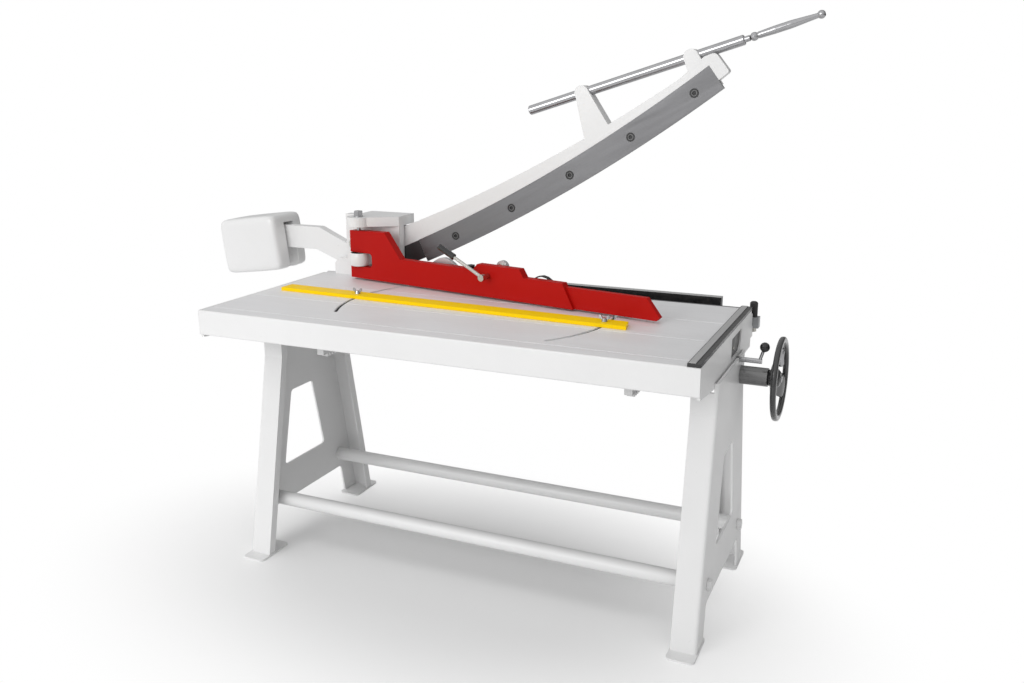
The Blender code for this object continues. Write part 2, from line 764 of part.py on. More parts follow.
def stand_outline(inset, bottom, top):
    """Front or side edges of an A-frame, drawn in by the inset, between two heights."""
    slope = (STAND_FOOT_HALF - STAND_KINK_HALF) / (STAND_KINK_HEIGHT - FOOT_THICKNESS)
    half_bottom = STAND_FOOT_HALF + slope * (FOOT_THICKNESS - bottom) - inset
    return [
        (STAND_MIDDLE - half_bottom, bottom), (STAND_MIDDLE + half_bottom, bottom),
        (STAND_MIDDLE + STAND_KINK_HALF - inset, STAND_KINK_HEIGHT),
        (STAND_MIDDLE + STAND_KINK_HALF - inset, top),
        (STAND_MIDDLE - STAND_KINK_HALF + inset, top),
        (STAND_MIDDLE - STAND_KINK_HALF + inset, STAND_KINK_HEIGHT),
    ]


def stand_notch():
    """The opening between the two legs, down through the floor."""
    slope = (STAND_FOOT_HALF - STAND_KINK_HALF) / (STAND_KINK_HEIGHT - FOOT_THICKNESS)
    half_top = STAND_FOOT_HALF - slope * (NOTCH_HEIGHT - FOOT_THICKNESS) - LEG_WIDTH
    half_bottom = STAND_FOOT_HALF + slope * OVERRUN - LEG_WIDTH
    return filleted([
        (STAND_MIDDLE - half_bottom, -OVERRUN), (STAND_MIDDLE + half_bottom, -OVERRUN),
        (STAND_MIDDLE + half_top, NOTCH_HEIGHT), (STAND_MIDDLE - half_top, NOTCH_HEIGHT),
    ], [0, 0, NOTCH_RADIUS, NOTCH_RADIUS])


def build_stand_frame(name, face, side):
    """Bent sheet frame on welded feet; side +1 has its plate at the right, -1 at the left."""
    bottom = FOOT_THICKNESS / 2
    inner = face - side * STAND_WIDTH
    low, high = min(face, inner), max(face, inner)
    corners = stand_outline(0, bottom, STAND_TOP_HEIGHT)
    frame = piece(name, prism(corners, low, high, "X"), PAINT)
    bends = [edge for edge in frame.data.edges if is_bend(frame.data, edge, face)]
    attribute = frame.data.attributes.new("bevel_weight_edge", "FLOAT", "EDGE")
    for edge in bends:
        attribute.data[edge.index].value = 1
    rounding = frame.modifiers.new("bend", "BEVEL")
    rounding.width = STAND_BEND_RADIUS
    rounding.segments = 3
    rounding.limit_method = "WEIGHT"
    pocket = prism(stand_outline(STAND_SHEET, bottom - OVERRUN, STAND_TOP_HEIGHT + OVERRUN),
                   min(face - side * STAND_SHEET, inner + side * STAND_SHEET),
                   max(face - side * STAND_SHEET, inner + side * STAND_SHEET), "X")
    mouth = prism(stand_outline(STAND_LIP, bottom - OVERRUN, STAND_TOP_HEIGHT + OVERRUN),
                  min(face - side * STAND_SHEET * 2, inner - side * OVERRUN),
                  max(face - side * STAND_SHEET * 2, inner - side * OVERRUN), "X")
    window = prism(filleted([
        (STAND_MIDDLE - WINDOW_BOTTOM_HALF, WINDOW_BOTTOM_HEIGHT),
        (STAND_MIDDLE + WINDOW_BOTTOM_HALF, WINDOW_BOTTOM_HEIGHT),
        (STAND_MIDDLE + WINDOW_TOP_HALF, WINDOW_TOP_HEIGHT),
        (STAND_MIDDLE - WINDOW_TOP_HALF, WINDOW_TOP_HEIGHT),
    ], WINDOW_RADIUS), low - OVERRUN, high + OVERRUN, "X")
    notch = prism(stand_notch(), low - OVERRUN, high + OVERRUN, "X")
    holes = []
    for place in (-TUBE_HALF_SPREAD, TUBE_HALF_SPREAD):
        holes.append(rod(TUBE_STUD_RADIUS + BORE_GAP, low - OVERRUN, high + OVERRUN,
                         (STAND_MIDDLE + place, TUBE_HEIGHT), "X", SMALL_ROUND))
    if side > 0:
        holes.append(rod(SHAFT_RADIUS * SHAFT_HOLE_SHARE, low - OVERRUN, high + OVERRUN,
                         (SHAFT_Y, SHAFT_HEIGHT), "X"))
        holes.append(rod(LOCK_SLEEVE_RADIUS * LOCK_HOLE_SHARE, low - OVERRUN, high + OVERRUN,
                         (LOCK_Y, LOCK_HEIGHT), "X"))
        holes.append(block((low - OVERRUN, -OVERRUN, TABLE_TOP - END_PLATE_REAR_HEIGHT - SEAT_GAP),
                           (TABLE_LENGTH + SEAT_GAP, TABLE_DEPTH, TABLE_TOP)))
    cut(frame, pocket, mouth, window, notch, *holes)
    spare = (FOOT_WIDTH - STAND_WIDTH) / 2
    fuse(frame, *foot_plates(low - spare, high + spare))


def is_bend(mesh, edge, face):
    """True for the long edges where the plate turns into a flange."""
    one, two = (mesh.vertices[index].co for index in edge.vertices)
    on_face = abs(one.x - face) < SEAT_GAP and abs(two.x - face) < SEAT_GAP
    return on_face and abs(one.z - two.z) > STAND_SHEET


def foot_plates(low, high):
    """The plates welded under the two legs of a frame, longer than a leg is wide."""
    plates = []
    for side in (-1, 1):
        outer = STAND_MIDDLE + side * (STAND_FOOT_HALF + FOOT_OVERHANG)
        inner = outer - side * FOOT_LENGTH
        corners = filleted(rectangle(low, high, min(outer, inner), max(outer, inner)), FOOT_CORNER_RADIUS)
        plates.append(prism(corners, 0, FOOT_THICKNESS, "Z"))
    return plates


def build_tie_tubes():
    """Each tube has a stud and a hex nut outside the plate at both ends."""
    left_inside = LEFT_STAND_X + STAND_SHEET + SEAT_GAP
    right_inside = RIGHT_STAND_FACE - STAND_SHEET - SEAT_GAP
    left_nut = LEFT_STAND_X - SEAT_GAP
    right_nut = RIGHT_STAND_FACE + SEAT_GAP
    for name, side in (("front_tie_tube", -1), ("rear_tie_tube", 1)):
        centre = (STAND_MIDDLE + side * TUBE_HALF_SPREAD, TUBE_HEIGHT)
        profile = [
            (0, left_nut - TUBE_NUT_LENGTH / 2), (TUBE_STUD_RADIUS, left_nut - TUBE_NUT_LENGTH / 2),
            (TUBE_STUD_RADIUS, left_inside), (TUBE_RADIUS, left_inside), (TUBE_RADIUS, right_inside),
            (TUBE_STUD_RADIUS, right_inside), (TUBE_STUD_RADIUS, right_nut + TUBE_NUT_LENGTH / 2),
            (0, right_nut + TUBE_NUT_LENGTH / 2),
        ]
        tube = piece(name, turned(profile, centre, "X"), PAINT)
        nuts = [prism(hexagon(centre, TUBE_NUT_ACROSS), left_nut - TUBE_NUT_LENGTH, left_nut, "X"),
                prism(hexagon(centre, TUBE_NUT_ACROSS), right_nut, right_nut + TUBE_NUT_LENGTH, "X")]
        fuse(tube, *nuts)


# Pivot housing

def build_pivot_housing():
    """Front cheek, top slab and hinge knuckle as one casting."""
    foot_top = CHEEK_FOOT_HEIGHT + CHEEK_FOOT_CHAMFER
    floor = TABLE_TOP + SEAT_GAP
    slab_low = TABLE_TOP + SLAB_BOTTOM
    slab_high = slab_low + SLAB_THICKNESS
    cheek = [
        (CHEEK_FOOT_START, floor), (SLAB_END, floor), (SLAB_END, slab_high), (CHEEK_START, slab_high),
        (CHEEK_START, TABLE_TOP + foot_top),
        (CHEEK_FOOT_START + CHEEK_FOOT_CHAMFER, TABLE_TOP + foot_top),
        (CHEEK_FOOT_START, TABLE_TOP + CHEEK_FOOT_HEIGHT),
    ]
    housing = piece("pivot_housing", prism(cheek, CHEEK_FRONT, CHEEK_BACK, "Y"), PAINT)
    nose_radius = KNUCKLE_RADIUS * SLAB_NOSE_SHARE
    nose = arc((HOLD_HINGE_X, HOLD_HINGE_Y), nose_radius, math.pi, SLAB_NOSE_END, ARC_STEPS * 2)
    slab_left = HOLD_HINGE_X - nose_radius
    slab = [(SLAB_END, CHEEK_FRONT), (SLAB_END, REAR_CHEEK_BACK), (slab_left, REAR_CHEEK_BACK)] + nose
    knuckle_low = TABLE_TOP + NOTCH_BOTTOM + KNUCKLE_GAP
    knuckle_high = TABLE_TOP + NOTCH_TOP - KNUCKLE_GAP
    web = prism(rectangle(HOLD_HINGE_X - KNUCKLE_RADIUS, HOLD_HINGE_X + KNUCKLE_RADIUS,
                          HOLD_HINGE_Y, CHEEK_FRONT + OVERRUN), knuckle_low, knuckle_high, "Z")
    knuckle = rod(KNUCKLE_RADIUS, knuckle_low, knuckle_high, (HOLD_HINGE_X, HOLD_HINGE_Y), "Z")
    fuse(housing, prism(slab, slab_low, slab_high, "Z"), web, knuckle)
    pin_bore = rod(HOLD_PIN_RADIUS + BORE_GAP, TABLE_TOP - OVERRUN, slab_high + OVERRUN,
                   (HOLD_HINGE_X, HOLD_HINGE_Y), "Z")
    pivot_bore = rod(PIVOT_PIN_RADIUS + BORE_GAP, CHEEK_FRONT - OVERRUN, CHEEK_BACK + OVERRUN,
                     (PIVOT_X, PIVOT_Z), "Y")
    cut(housing, pin_bore, pivot_bore)


def build_rear_cheek():
    """Plate behind the knife hub, carried by a spacer block on the table's back."""
    low = TABLE_TOP - REAR_CHEEK_DEPTH
    high = TABLE_TOP + SLAB_BOTTOM - SEAT_GAP
    outline = filleted(rectangle(CHEEK_FOOT_START, REAR_CHEEK_END, low, high), STAND_LIP)
    cheek = piece("rear_cheek", prism(outline, REAR_CHEEK_FRONT, REAR_CHEEK_BACK, "Y"), PAINT)
    spacer_front = TABLE_DEPTH + SEAT_GAP
    spacer = block((SPACER_START, spacer_front, low),
                   (SPACER_START + SPACER_LENGTH, REAR_CHEEK_BACK, low + SPACER_HEIGHT))
    fuse(cheek, spacer)
    cut(cheek, rod(PIVOT_PIN_RADIUS + BORE_GAP, REAR_CHEEK_FRONT - OVERRUN / 2, REAR_CHEEK_BACK + OVERRUN,
                   (PIVOT_X, PIVOT_Z), "Y"))


def build_pivot_pin():
    front = CHEEK_FRONT - SEAT_GAP
    back = REAR_CHEEK_BACK + PIVOT_NUT_LENGTH
    centre = (PIVOT_X, PIVOT_Z)
    profile = [
        (0, front - PIVOT_HEAD_LENGTH), (PIVOT_HEAD_RADIUS, front - PIVOT_HEAD_LENGTH),
        (PIVOT_HEAD_RADIUS, front), (PIVOT_PIN_RADIUS, front), (PIVOT_PIN_RADIUS, back), (0, back),
    ]
    piece("pivot_pin", turned(profile, centre, "Y"), ZINC)
    nut_front = REAR_CHEEK_BACK + SEAT_GAP
    nut = piece("pivot_nut", prism(hexagon(centre, PIVOT_NUT_ACROSS), nut_front,
                                   nut_front + PIVOT_NUT_LENGTH - SEAT_GAP * 2, "Y"), ZINC)
    cut(nut, rod(PIVOT_PIN_RADIUS + BORE_GAP, nut_front - OVERRUN, nut_front + PIVOT_NUT_LENGTH + OVERRUN,
                 centre, "Y"))


def build_hold_down_pin():
    """Hinge bolt of the hold-down arm, with its head on the slab."""
    head_low = TABLE_TOP + SLAB_BOTTOM + SLAB_THICKNESS + SEAT_GAP
    bottom = TABLE_TOP + HOLD_FLOOR
    profile = [
        (0, bottom), (HOLD_PIN_RADIUS, bottom), (HOLD_PIN_RADIUS, head_low),
        (HOLD_PIN_HEAD_RADIUS, head_low), (HOLD_PIN_HEAD_RADIUS, head_low + HOLD_PIN_HEAD),
        (0, head_low + HOLD_PIN_HEAD),
    ]
    piece("hold_down_pin", turned(profile, (HOLD_HINGE_X, HOLD_HINGE_Y), "Z"), CHROME)


# Knife

def edge_point(radius, along):
    """A point at a radius from the edge's centre, by its length along the cutting edge."""
    angle = along / EDGE_RADIUS - math.pi / 2
    return (EDGE_CENTRE[0] + radius * math.cos(angle), EDGE_CENTRE[1] + radius * math.sin(angle))


def edge_run(radius, start, end, steps=BLADE_STEPS):
    return [edge_point(radius, start + (end - start) * step / steps) for step in range(steps + 1)]


def beam_top(along):
    """Top edge of the beam: its band over the blade tapers evenly to the nose."""
    start = -BLADE_LEFT_LENGTH
    share = (along - start) / (BLADE_RIGHT_LENGTH - NOSE_RUN_UP - start)
    band = HEEL_BAND + (NOSE_BAND - HEEL_BAND) * share
    return edge_point(EDGE_RADIUS - BLADE_HEIGHT - band, along)


def nose_outline():
    """Hooked nose past the blade's end, from the beam's underside round to its top."""
    right = BLADE_RIGHT_LENGTH
    under = edge_point(EDGE_RADIUS - EDGE_PROJECTION, right - SEAT_GAP)
    low_left = edge_point(EDGE_RADIUS - EDGE_PROJECTION - NOSE_LENGTH / 3, right)
    tip_x = low_left[0] + NOSE_LENGTH
    heel = (tip_x, low_left[1] + NOSE_LENGTH / 5)
    top = low_left[1] + NOSE_HEIGHT
    corners = [under, low_left, heel, (tip_x - NOSE_LENGTH / 3, top),
               (tip_x - NOSE_LENGTH * NOSE_BACK_SHARE, top + NOSE_LENGTH / 8)]
    radii = [0, 0, NOSE_RADIUS / 2, NOSE_RADIUS, NOSE_RADIUS]
    closing = beam_top(right - NOSE_RUN_UP)
    return filleted(corners + [closing], radii + [0])[:-1]


def weight_point(u, v):
    """A point of the counterweight's own frame, in the knife's frame."""
    turned_point = spin((u, v), WEIGHT_TILT)
    return (WEIGHT_X + turned_point[0], WEIGHT_Z + turned_point[1])


def knife_outline():
    """Beam, hub and counterweight arm in one closed line, anticlockwise."""
    floor_u = WEIGHT_LENGTH / 2 - WEIGHT_SLOT_DEPTH + SEAT_GAP
    arm_high = WEIGHT_ARM_RISE + ARM_WIDTH / 2
    arm_low = WEIGHT_ARM_RISE - ARM_WIDTH / 2
    end_top = weight_point(floor_u, arm_high)
    end_low = weight_point(floor_u, arm_low)
    across = spin((0, ARM_WIDTH / 2), ARM_ELBOW_TILT)
    elbow_top = (ARM_ELBOW_X + across[0], ARM_ELBOW_Z + across[1])
    elbow_low = (ARM_ELBOW_X - across[0], ARM_ELBOW_Z - across[1])
    start = -BLADE_LEFT_LENGTH - HEEL_LENGTH
    under = edge_run(EDGE_RADIUS - EDGE_PROJECTION, start, BLADE_RIGHT_LENGTH - NOSE_LENGTH)
    over_start = BLADE_RIGHT_LENGTH - NOSE_RUN_UP
    over_length = over_start + BLADE_LEFT_LENGTH + HEEL_TOP_LENGTH
    over = [beam_top(over_start - over_length * step / BLADE_STEPS) for step in range(BLADE_STEPS + 1)]
    hub_top = arc((0, 0), HUB_RADIUS, math.radians(70), math.radians(160))
    arm = [elbow_top, end_top, end_low, elbow_low, (ARM_NECK_X, ARM_NECK_Z)]
    return under + nose_outline() + over + hub_top + arm


def handle_point(along):
    """A point on the handle's axis in the knife's frame."""
    return (HANDLE_X + along * math.cos(HANDLE_SLOPE), HANDLE_Z - along * math.sin(HANDLE_SLOPE))


def lug_outline(x, base, lean):
    """Side view of a handle lug: a round eye over a wide foot sunk into the beam."""
    eye_x, eye_z = handle_point((x - HANDLE_X) / math.cos(HANDLE_SLOPE))
    along = x - EDGE_CENTRE[0]
    foot_z = beam_top(along)[1] - NOSE_BAND / 2
    foot = x + lean
    eye = arc((eye_x, eye_z), LUG_RADIUS, math.radians(-10), math.radians(190), 10)
    return [(foot - base / 2, foot_z), (foot + base / 2, foot_z)] + eye


def blade_band(inner, outer, start, end):
    """Outline between two radii about the edge's centre, with radial ends."""
    return edge_run(outer, start, end) + list(reversed(edge_run(inner, start, end)))


def build_knife(pivot):
    """All pieces that turn about the knife pivot."""
    half = KNIFE_THICKNESS / 2
    front = -half
    beam = piece("knife_beam", prism(knife_outline(), front, half, "Y"), PAINT, pivot)
    lug_back = front + LUG_THICKNESS
    fuse(beam,
         prism(lug_outline(LEFT_LUG_X, LEFT_LUG_BASE, LEFT_LUG_LEAN), front, lug_back, "Y"),
         prism(lug_outline(RIGHT_LUG_X, RIGHT_LUG_BASE, 0), front, lug_back, "Y"))
    pocket = prism(blade_band(EDGE_RADIUS - BLADE_HEIGHT - SEAT_GAP, EDGE_RADIUS + OVERRUN,
                              -BLADE_LEFT_LENGTH - SEAT_GAP, BLADE_RIGHT_LENGTH + SEAT_GAP),
                   front - OVERRUN, front + BLADE_THICKNESS + SEAT_GAP, "Y")
    bar_bore = rod(HANDLE_BAR_RADIUS + BORE_GAP, -OVERRUN, HANDLE_BAR_LENGTH, (0, 0), "X")
    moved(bar_bore, handle_matrix())
    hub_bore = rod(PIVOT_PIN_RADIUS + BORE_GAP, front - OVERRUN, half + OVERRUN, (0, 0), "Y")
    cut(beam, pocket, bar_bore, hub_bore)

    blade = piece("upper_blade", prism(
        blade_band(EDGE_RADIUS - BLADE_HEIGHT, EDGE_RADIUS, -BLADE_LEFT_LENGTH, BLADE_RIGHT_LENGTH),
        front, front + BLADE_THICKNESS, "Y"), BLADE_STEEL, pivot)
    screw_radius = EDGE_RADIUS - BLADE_HEIGHT / 2
    blade_bores = []
    beam_bores = []
    screw_count = 1 + round((BLADE_LEFT_LENGTH + BLADE_RIGHT_LENGTH - 2 * SCREW_FIRST) / SCREW_PITCH)
    for number in range(screw_count):
        along = -BLADE_LEFT_LENGTH + SCREW_FIRST + number * SCREW_PITCH
        centre = edge_point(screw_radius, along)
        head_floor = front + SCREW_HEAD_HEIGHT
        shank_end = front + BLADE_THICKNESS + SCREW_HEAD_HEIGHT * 2
        profile = [
            (0, front + SCREW_SOCKET_DEPTH), (SCREW_SOCKET_RADIUS, front + SCREW_SOCKET_DEPTH),
            (SCREW_SOCKET_RADIUS, front), (SCREW_HEAD_RADIUS, front), (SCREW_HEAD_RADIUS, head_floor),
            (SCREW_SHANK_RADIUS, head_floor), (SCREW_SHANK_RADIUS, shank_end), (0, shank_end),
        ]
        piece(f"blade_screw_{number + 1}", turned(profile, centre, "Y", SMALL_ROUND), BLACK_STEEL, pivot)
        grown = [(SCREW_HEAD_RADIUS + BORE_GAP, front - OVERRUN),
                 (SCREW_HEAD_RADIUS + BORE_GAP, head_floor + SEAT_GAP),
                 (SCREW_SHANK_RADIUS + BORE_GAP, head_floor + SEAT_GAP),
                 (SCREW_SHANK_RADIUS + BORE_GAP, shank_end + SEAT_GAP)]
        blade_bores.append(turned(grown, centre, "Y", SMALL_ROUND))
        beam_bores.append(turned(grown[2:], centre, "Y", SMALL_ROUND))
    cut(blade, *blade_bores)
    cut(beam, *beam_bores)
    build_counterweight(pivot)


def build_counterweight(pivot):
    """Rounded cast block with a slot in its inner end for the arm."""
    frame = add_empty("counterweight_frame", (WEIGHT_X, 0, WEIGHT_Z), (0, -WEIGHT_TILT, 0), pivot)
    half = (WEIGHT_LENGTH / 2, WEIGHT_DEPTH / 2, WEIGHT_HEIGHT / 2)
    solid = block([-size for size in half], half)
    weight = piece("counterweight", solid, PAINT, frame)
    bevel(weight, WEIGHT_EDGE_RADIUS, 4)
    slot_top = WEIGHT_ARM_RISE + ARM_WIDTH / 2 + SEAT_GAP
    slot = block((half[0] - WEIGHT_SLOT_DEPTH, -WEIGHT_SLOT_WIDTH / 2, -half[2] - OVERRUN),
                 (half[0] + OVERRUN, WEIGHT_SLOT_WIDTH / 2, slot_top))
    cut(weight, slot)


def handle_matrix():
    """From the handle's own frame, with X along the bar, to the knife's frame."""
    place = Matrix.Translation((HANDLE_X, HANDLE_SETBACK, HANDLE_Z))
    return place @ Matrix.Rotation(HANDLE_SLOPE, 4, "Y")


def build_handle(pivot):
    frame = add_empty("handle_frame", (HANDLE_X, HANDLE_SETBACK, HANDLE_Z), (0, HANDLE_SLOPE, 0), pivot)
    neck_end = HANDLE_BAR_LENGTH + HANDLE_NECK_LENGTH
    collar_end = neck_end + HANDLE_COLLAR_RADIUS * 2
    chamfer = HANDLE_BAR_RADIUS / 6
    bar = [
        (0, 0), (HANDLE_BAR_RADIUS - chamfer, 0), (HANDLE_BAR_RADIUS, chamfer),
        (HANDLE_BAR_RADIUS, HANDLE_BAR_LENGTH - chamfer), (HANDLE_BAR_RADIUS - chamfer, HANDLE_BAR_LENGTH),
        (HANDLE_NECK_RADIUS, HANDLE_BAR_LENGTH), (HANDLE_NECK_RADIUS, neck_end), (0, neck_end),
    ]
    piece("handle_bar", turned(bar, (0, 0), "X"), CHROME, frame)
    start = neck_end + SEAT_GAP
    collar = arc((start + HANDLE_COLLAR_RADIUS, 0), HANDLE_COLLAR_RADIUS, math.radians(150), math.radians(40))
    grip = [(0, start)]
    grip += [(height, along) for along, height in collar]
    grip += [(GRIP_START_RADIUS, collar_end), (GRIP_MIDDLE_RADIUS, collar_end + GRIP_LENGTH / 4),
             (GRIP_MIDDLE_RADIUS, collar_end + GRIP_LENGTH / 2),
             (GRIP_END_RADIUS, collar_end + GRIP_LENGTH - GRIP_POMMEL_LENGTH)]
    pommel_middle = collar_end + GRIP_LENGTH - GRIP_POMMEL_LENGTH / 2
    pommel = arc((pommel_middle, 0), GRIP_POMMEL_RADIUS, math.radians(145), math.radians(25))
    grip += [(height, along) for along, height in pommel]
    grip.append((0, pommel_middle + GRIP_POMMEL_RADIUS * math.cos(math.radians(25))))
    piece("handle_grip", turned(grip, (0, 0), "X"), CHROME, frame)


# Hold-down

def hold_down_outline():
    """Front view of the arm's thick part: block, low middle, raised pad, slanted end."""
    shoulder = BLOCK_HEIGHT + BLOCK_SHOULDER_RISE
    return [
        (0, HOLD_FLOOR), (HOLD_END_TOE, HOLD_FLOOR), (HOLD_END_TOP, HOLD_END_HEIGHT),
        (HOLD_RAISED_END + HOLD_SLOPE, HOLD_END_HEIGHT), (HOLD_RAISED_END, HOLD_RAISED_TOP),
        (HOLD_RAISED_START + HOLD_SLOPE, HOLD_RAISED_TOP), (HOLD_RAISED_START, HOLD_LOW_TOP),
        (BLOCK_TOE_S, HOLD_LOW_TOP), (BLOCK_SHOULDER_S, shoulder), (0, BLOCK_HEIGHT),
    ]


def clamp_bar_outline():
    """Front view of the thinner bar that carries on to the right."""
    tip_height = CLAMP_BAR_TOP - HOLD_FLOOR
    chamfer = tip_height / 6
    return [
        (HOLD_END_TOP - CLAMP_BAR_TOP, HOLD_FLOOR), (CLAMP_BAR_TIP - chamfer, HOLD_FLOOR),
        (CLAMP_BAR_TIP, HOLD_FLOOR + chamfer), (CLAMP_BAR_SHOULDER, CLAMP_BAR_TOP),
        (HOLD_END_TOP - CLAMP_BAR_TOP, CLAMP_BAR_TOP),
    ]


def build_hold_down(hinge):
    """The red arm; its frame has the origin on the hinge and s as +X."""
    front = -HOLD_HINGE_N
    back = HOLD_THICKNESS - HOLD_HINGE_N
    slide = Matrix.Translation((-HOLD_HINGE_S, 0, 0))
    arm = piece("hold_down_arm", moved(prism(hold_down_outline(), front, back, "Y"), slide),
                RED_PAINT, hinge)
    bar = moved(prism(clamp_bar_outline(), front + CLAMP_BAR_SETBACK, back, "Y"), slide)
    fuse(arm, bar)
    notch_radius = (NOTCH_TOP - NOTCH_BOTTOM) / 4
    notch = prism(filleted(rectangle(-OVERRUN, NOTCH_DEPTH, NOTCH_BOTTOM, NOTCH_TOP),
                           [0, notch_radius, notch_radius, 0]),
                  front - OVERRUN, back + OVERRUN, "Y")
    pin_bore = rod(HOLD_PIN_RADIUS + BORE_GAP, -OVERRUN, BLOCK_HEIGHT + OVERRUN, (0, 0), "Z")
    shaft_bore = rod(LEVER_SHAFT_RADIUS + BORE_GAP, front - OVERRUN, back + OVERRUN,
                     (LEVER_S - HOLD_HINGE_S, LEVER_HEIGHT), "Y")
    cut(arm, moved(notch, slide), pin_bore, shaft_bore)

    nut_low = HOLD_LOW_TOP + SEAT_GAP
    nut_s = HOLD_RAISED_START - ARM_NUT_ACROSS * ARM_NUT_PLACE_SHARE - HOLD_HINGE_S
    nut = prism(hexagon((nut_s, 0), ARM_NUT_ACROSS), nut_low, nut_low + ARM_NUT_HEIGHT, "Z")
    piece("arm_nut", nut, BLACK_STEEL, hinge)

    rise = [(-SPRING_HALF, 0), (-SPRING_HALF / 2, SPRING_RISE * SPRING_SHOULDER_SHARE), (0, SPRING_RISE),
            (SPRING_HALF / 2, SPRING_RISE * SPRING_SHOULDER_SHARE), (SPRING_HALF, 0)]
    over = [(u, v + SPRING_STRIP) for u, v in rise]
    spring = prism(rise + list(reversed(over)), back + SEAT_GAP, back + SPRING_WIDTH, "Y")
    moved(spring, Matrix.Translation((SPRING_S - HOLD_HINGE_S, 0, SPRING_BASE_HEIGHT)))
    piece("leaf_spring", spring, BLACK_STEEL, hinge)


def build_clamp_lever(lever):
    """Lever in front of the arm, crank and roller behind it, on one shaft along Y."""
    front = -HOLD_HINGE_N
    back = HOLD_THICKNESS - HOLD_HINGE_N
    boss_front = front - LEVER_STANDOFF - LEVER_BOSS_LENGTH / 2
    boss_back = front - LEVER_STANDOFF + LEVER_BOSS_LENGTH / 2
    crank_front = back + SEAT_GAP
    crank_back = crank_front + CRANK_THICKNESS
    profile = [
        (0, boss_front), (LEVER_BOSS_RADIUS, boss_front), (LEVER_BOSS_RADIUS, boss_back),
        (LEVER_SHAFT_RADIUS, boss_back), (LEVER_SHAFT_RADIUS, crank_back), (0, crank_back),
    ]
    shaft = piece("clamp_lever", turned(profile, (0, 0), "Y"), ZINC, lever)
    rod_middle = front - LEVER_STANDOFF
    direction = Vector((math.cos(LEVER_ROD_ANGLE), 0, math.sin(LEVER_ROD_ANGLE)))
    start = Vector((0, rod_middle, 0))
    end = start + direction * LEVER_ROD_LENGTH
    arm = wire([start, end], LEVER_ROD_RADIUS)
    reach = spin((CRANK_REACH, 0), CRANK_ANGLE)
    near = arc((0, 0), CRANK_RADIUS, CRANK_ANGLE + math.pi / 2, CRANK_ANGLE + math.pi * 3 / 2)
    far = arc(reach, CRANK_RADIUS, CRANK_ANGLE - math.pi / 2, CRANK_ANGLE + math.pi / 2)
    crank = prism(near + far, crank_front, crank_back, "Y")
    axle_back = crank_back + ROLLER_WIDTH
    axle = rod(ROLLER_AXLE_RADIUS, crank_front + CRANK_THICKNESS / 2, axle_back, reach, "Y", SMALL_ROUND)
    fuse(shaft, arm, crank, axle)

    grip_start = end + direction * SEAT_GAP
    grip_end = grip_start + direction * LEVER_GRIP_LENGTH
    piece("lever_grip", wire([grip_start, grip_end], LEVER_GRIP_RADIUS, SMALL_ROUND), BLACK_PLASTIC, lever)
    roller_front = crank_back + SEAT_GAP
    roller = turned([(ROLLER_AXLE_RADIUS + BORE_GAP, roller_front), (ROLLER_RADIUS, roller_front),
                     (ROLLER_RADIUS, roller_front + ROLLER_WIDTH),
                     (ROLLER_AXLE_RADIUS + BORE_GAP, roller_front + ROLLER_WIDTH)],
                    reach, "Y", closed=True)
    piece("cam_roller", roller, GROUND_STEEL, lever)


def build_presser(frame):
    """Spring-arched presser bar behind the arm, on the sheet's side of the blade."""
    front = HOLD_THICKNESS - HOLD_HINGE_N + CRANK_THICKNESS + SEAT_GAP * 2
    hump = []
    for step in range(ARC_STEPS * 2 + 1):
        share = step / (ARC_STEPS * 2)
        along = PRESSER_HUMP_S - PRESSER_HUMP_HALF + 2 * PRESSER_HUMP_HALF * share
        lift = (PRESSER_HUMP_TOP - PRESSER_TOP) * (1 - math.cos(2 * math.pi * share)) / 2
        hump.append((along, PRESSER_TOP + lift))
    outline = [(PRESSER_START, PRESSER_FLOOR), (PRESSER_END, PRESSER_FLOOR),
               (PRESSER_END, PRESSER_TOP)] + list(reversed(hump))
    shape = prism(outline, front, front + PRESSER_THICKNESS, "Y")
    slide = Matrix.Translation((-HOLD_HINGE_S, 0, 0))
    bar = piece("presser_bar", moved(shape, slide), GROUND_STEEL, frame)
    # Pads carry the bar on the arm's back and leave the crank its room.
    pads = []
    for place in PRESSER_PAD_PLACES:
        low = (place - PRESSER_PAD_LENGTH / 2, HOLD_THICKNESS - HOLD_HINGE_N + SEAT_GAP,
               PRESSER_FLOOR + SEAT_GAP)
        high = (place + PRESSER_PAD_LENGTH / 2, front + PRESSER_THICKNESS / 2, PRESSER_PAD_TOP)
        pads.append(moved(block(low, high), slide))
    fuse(bar, *pads)


# Mitre fence

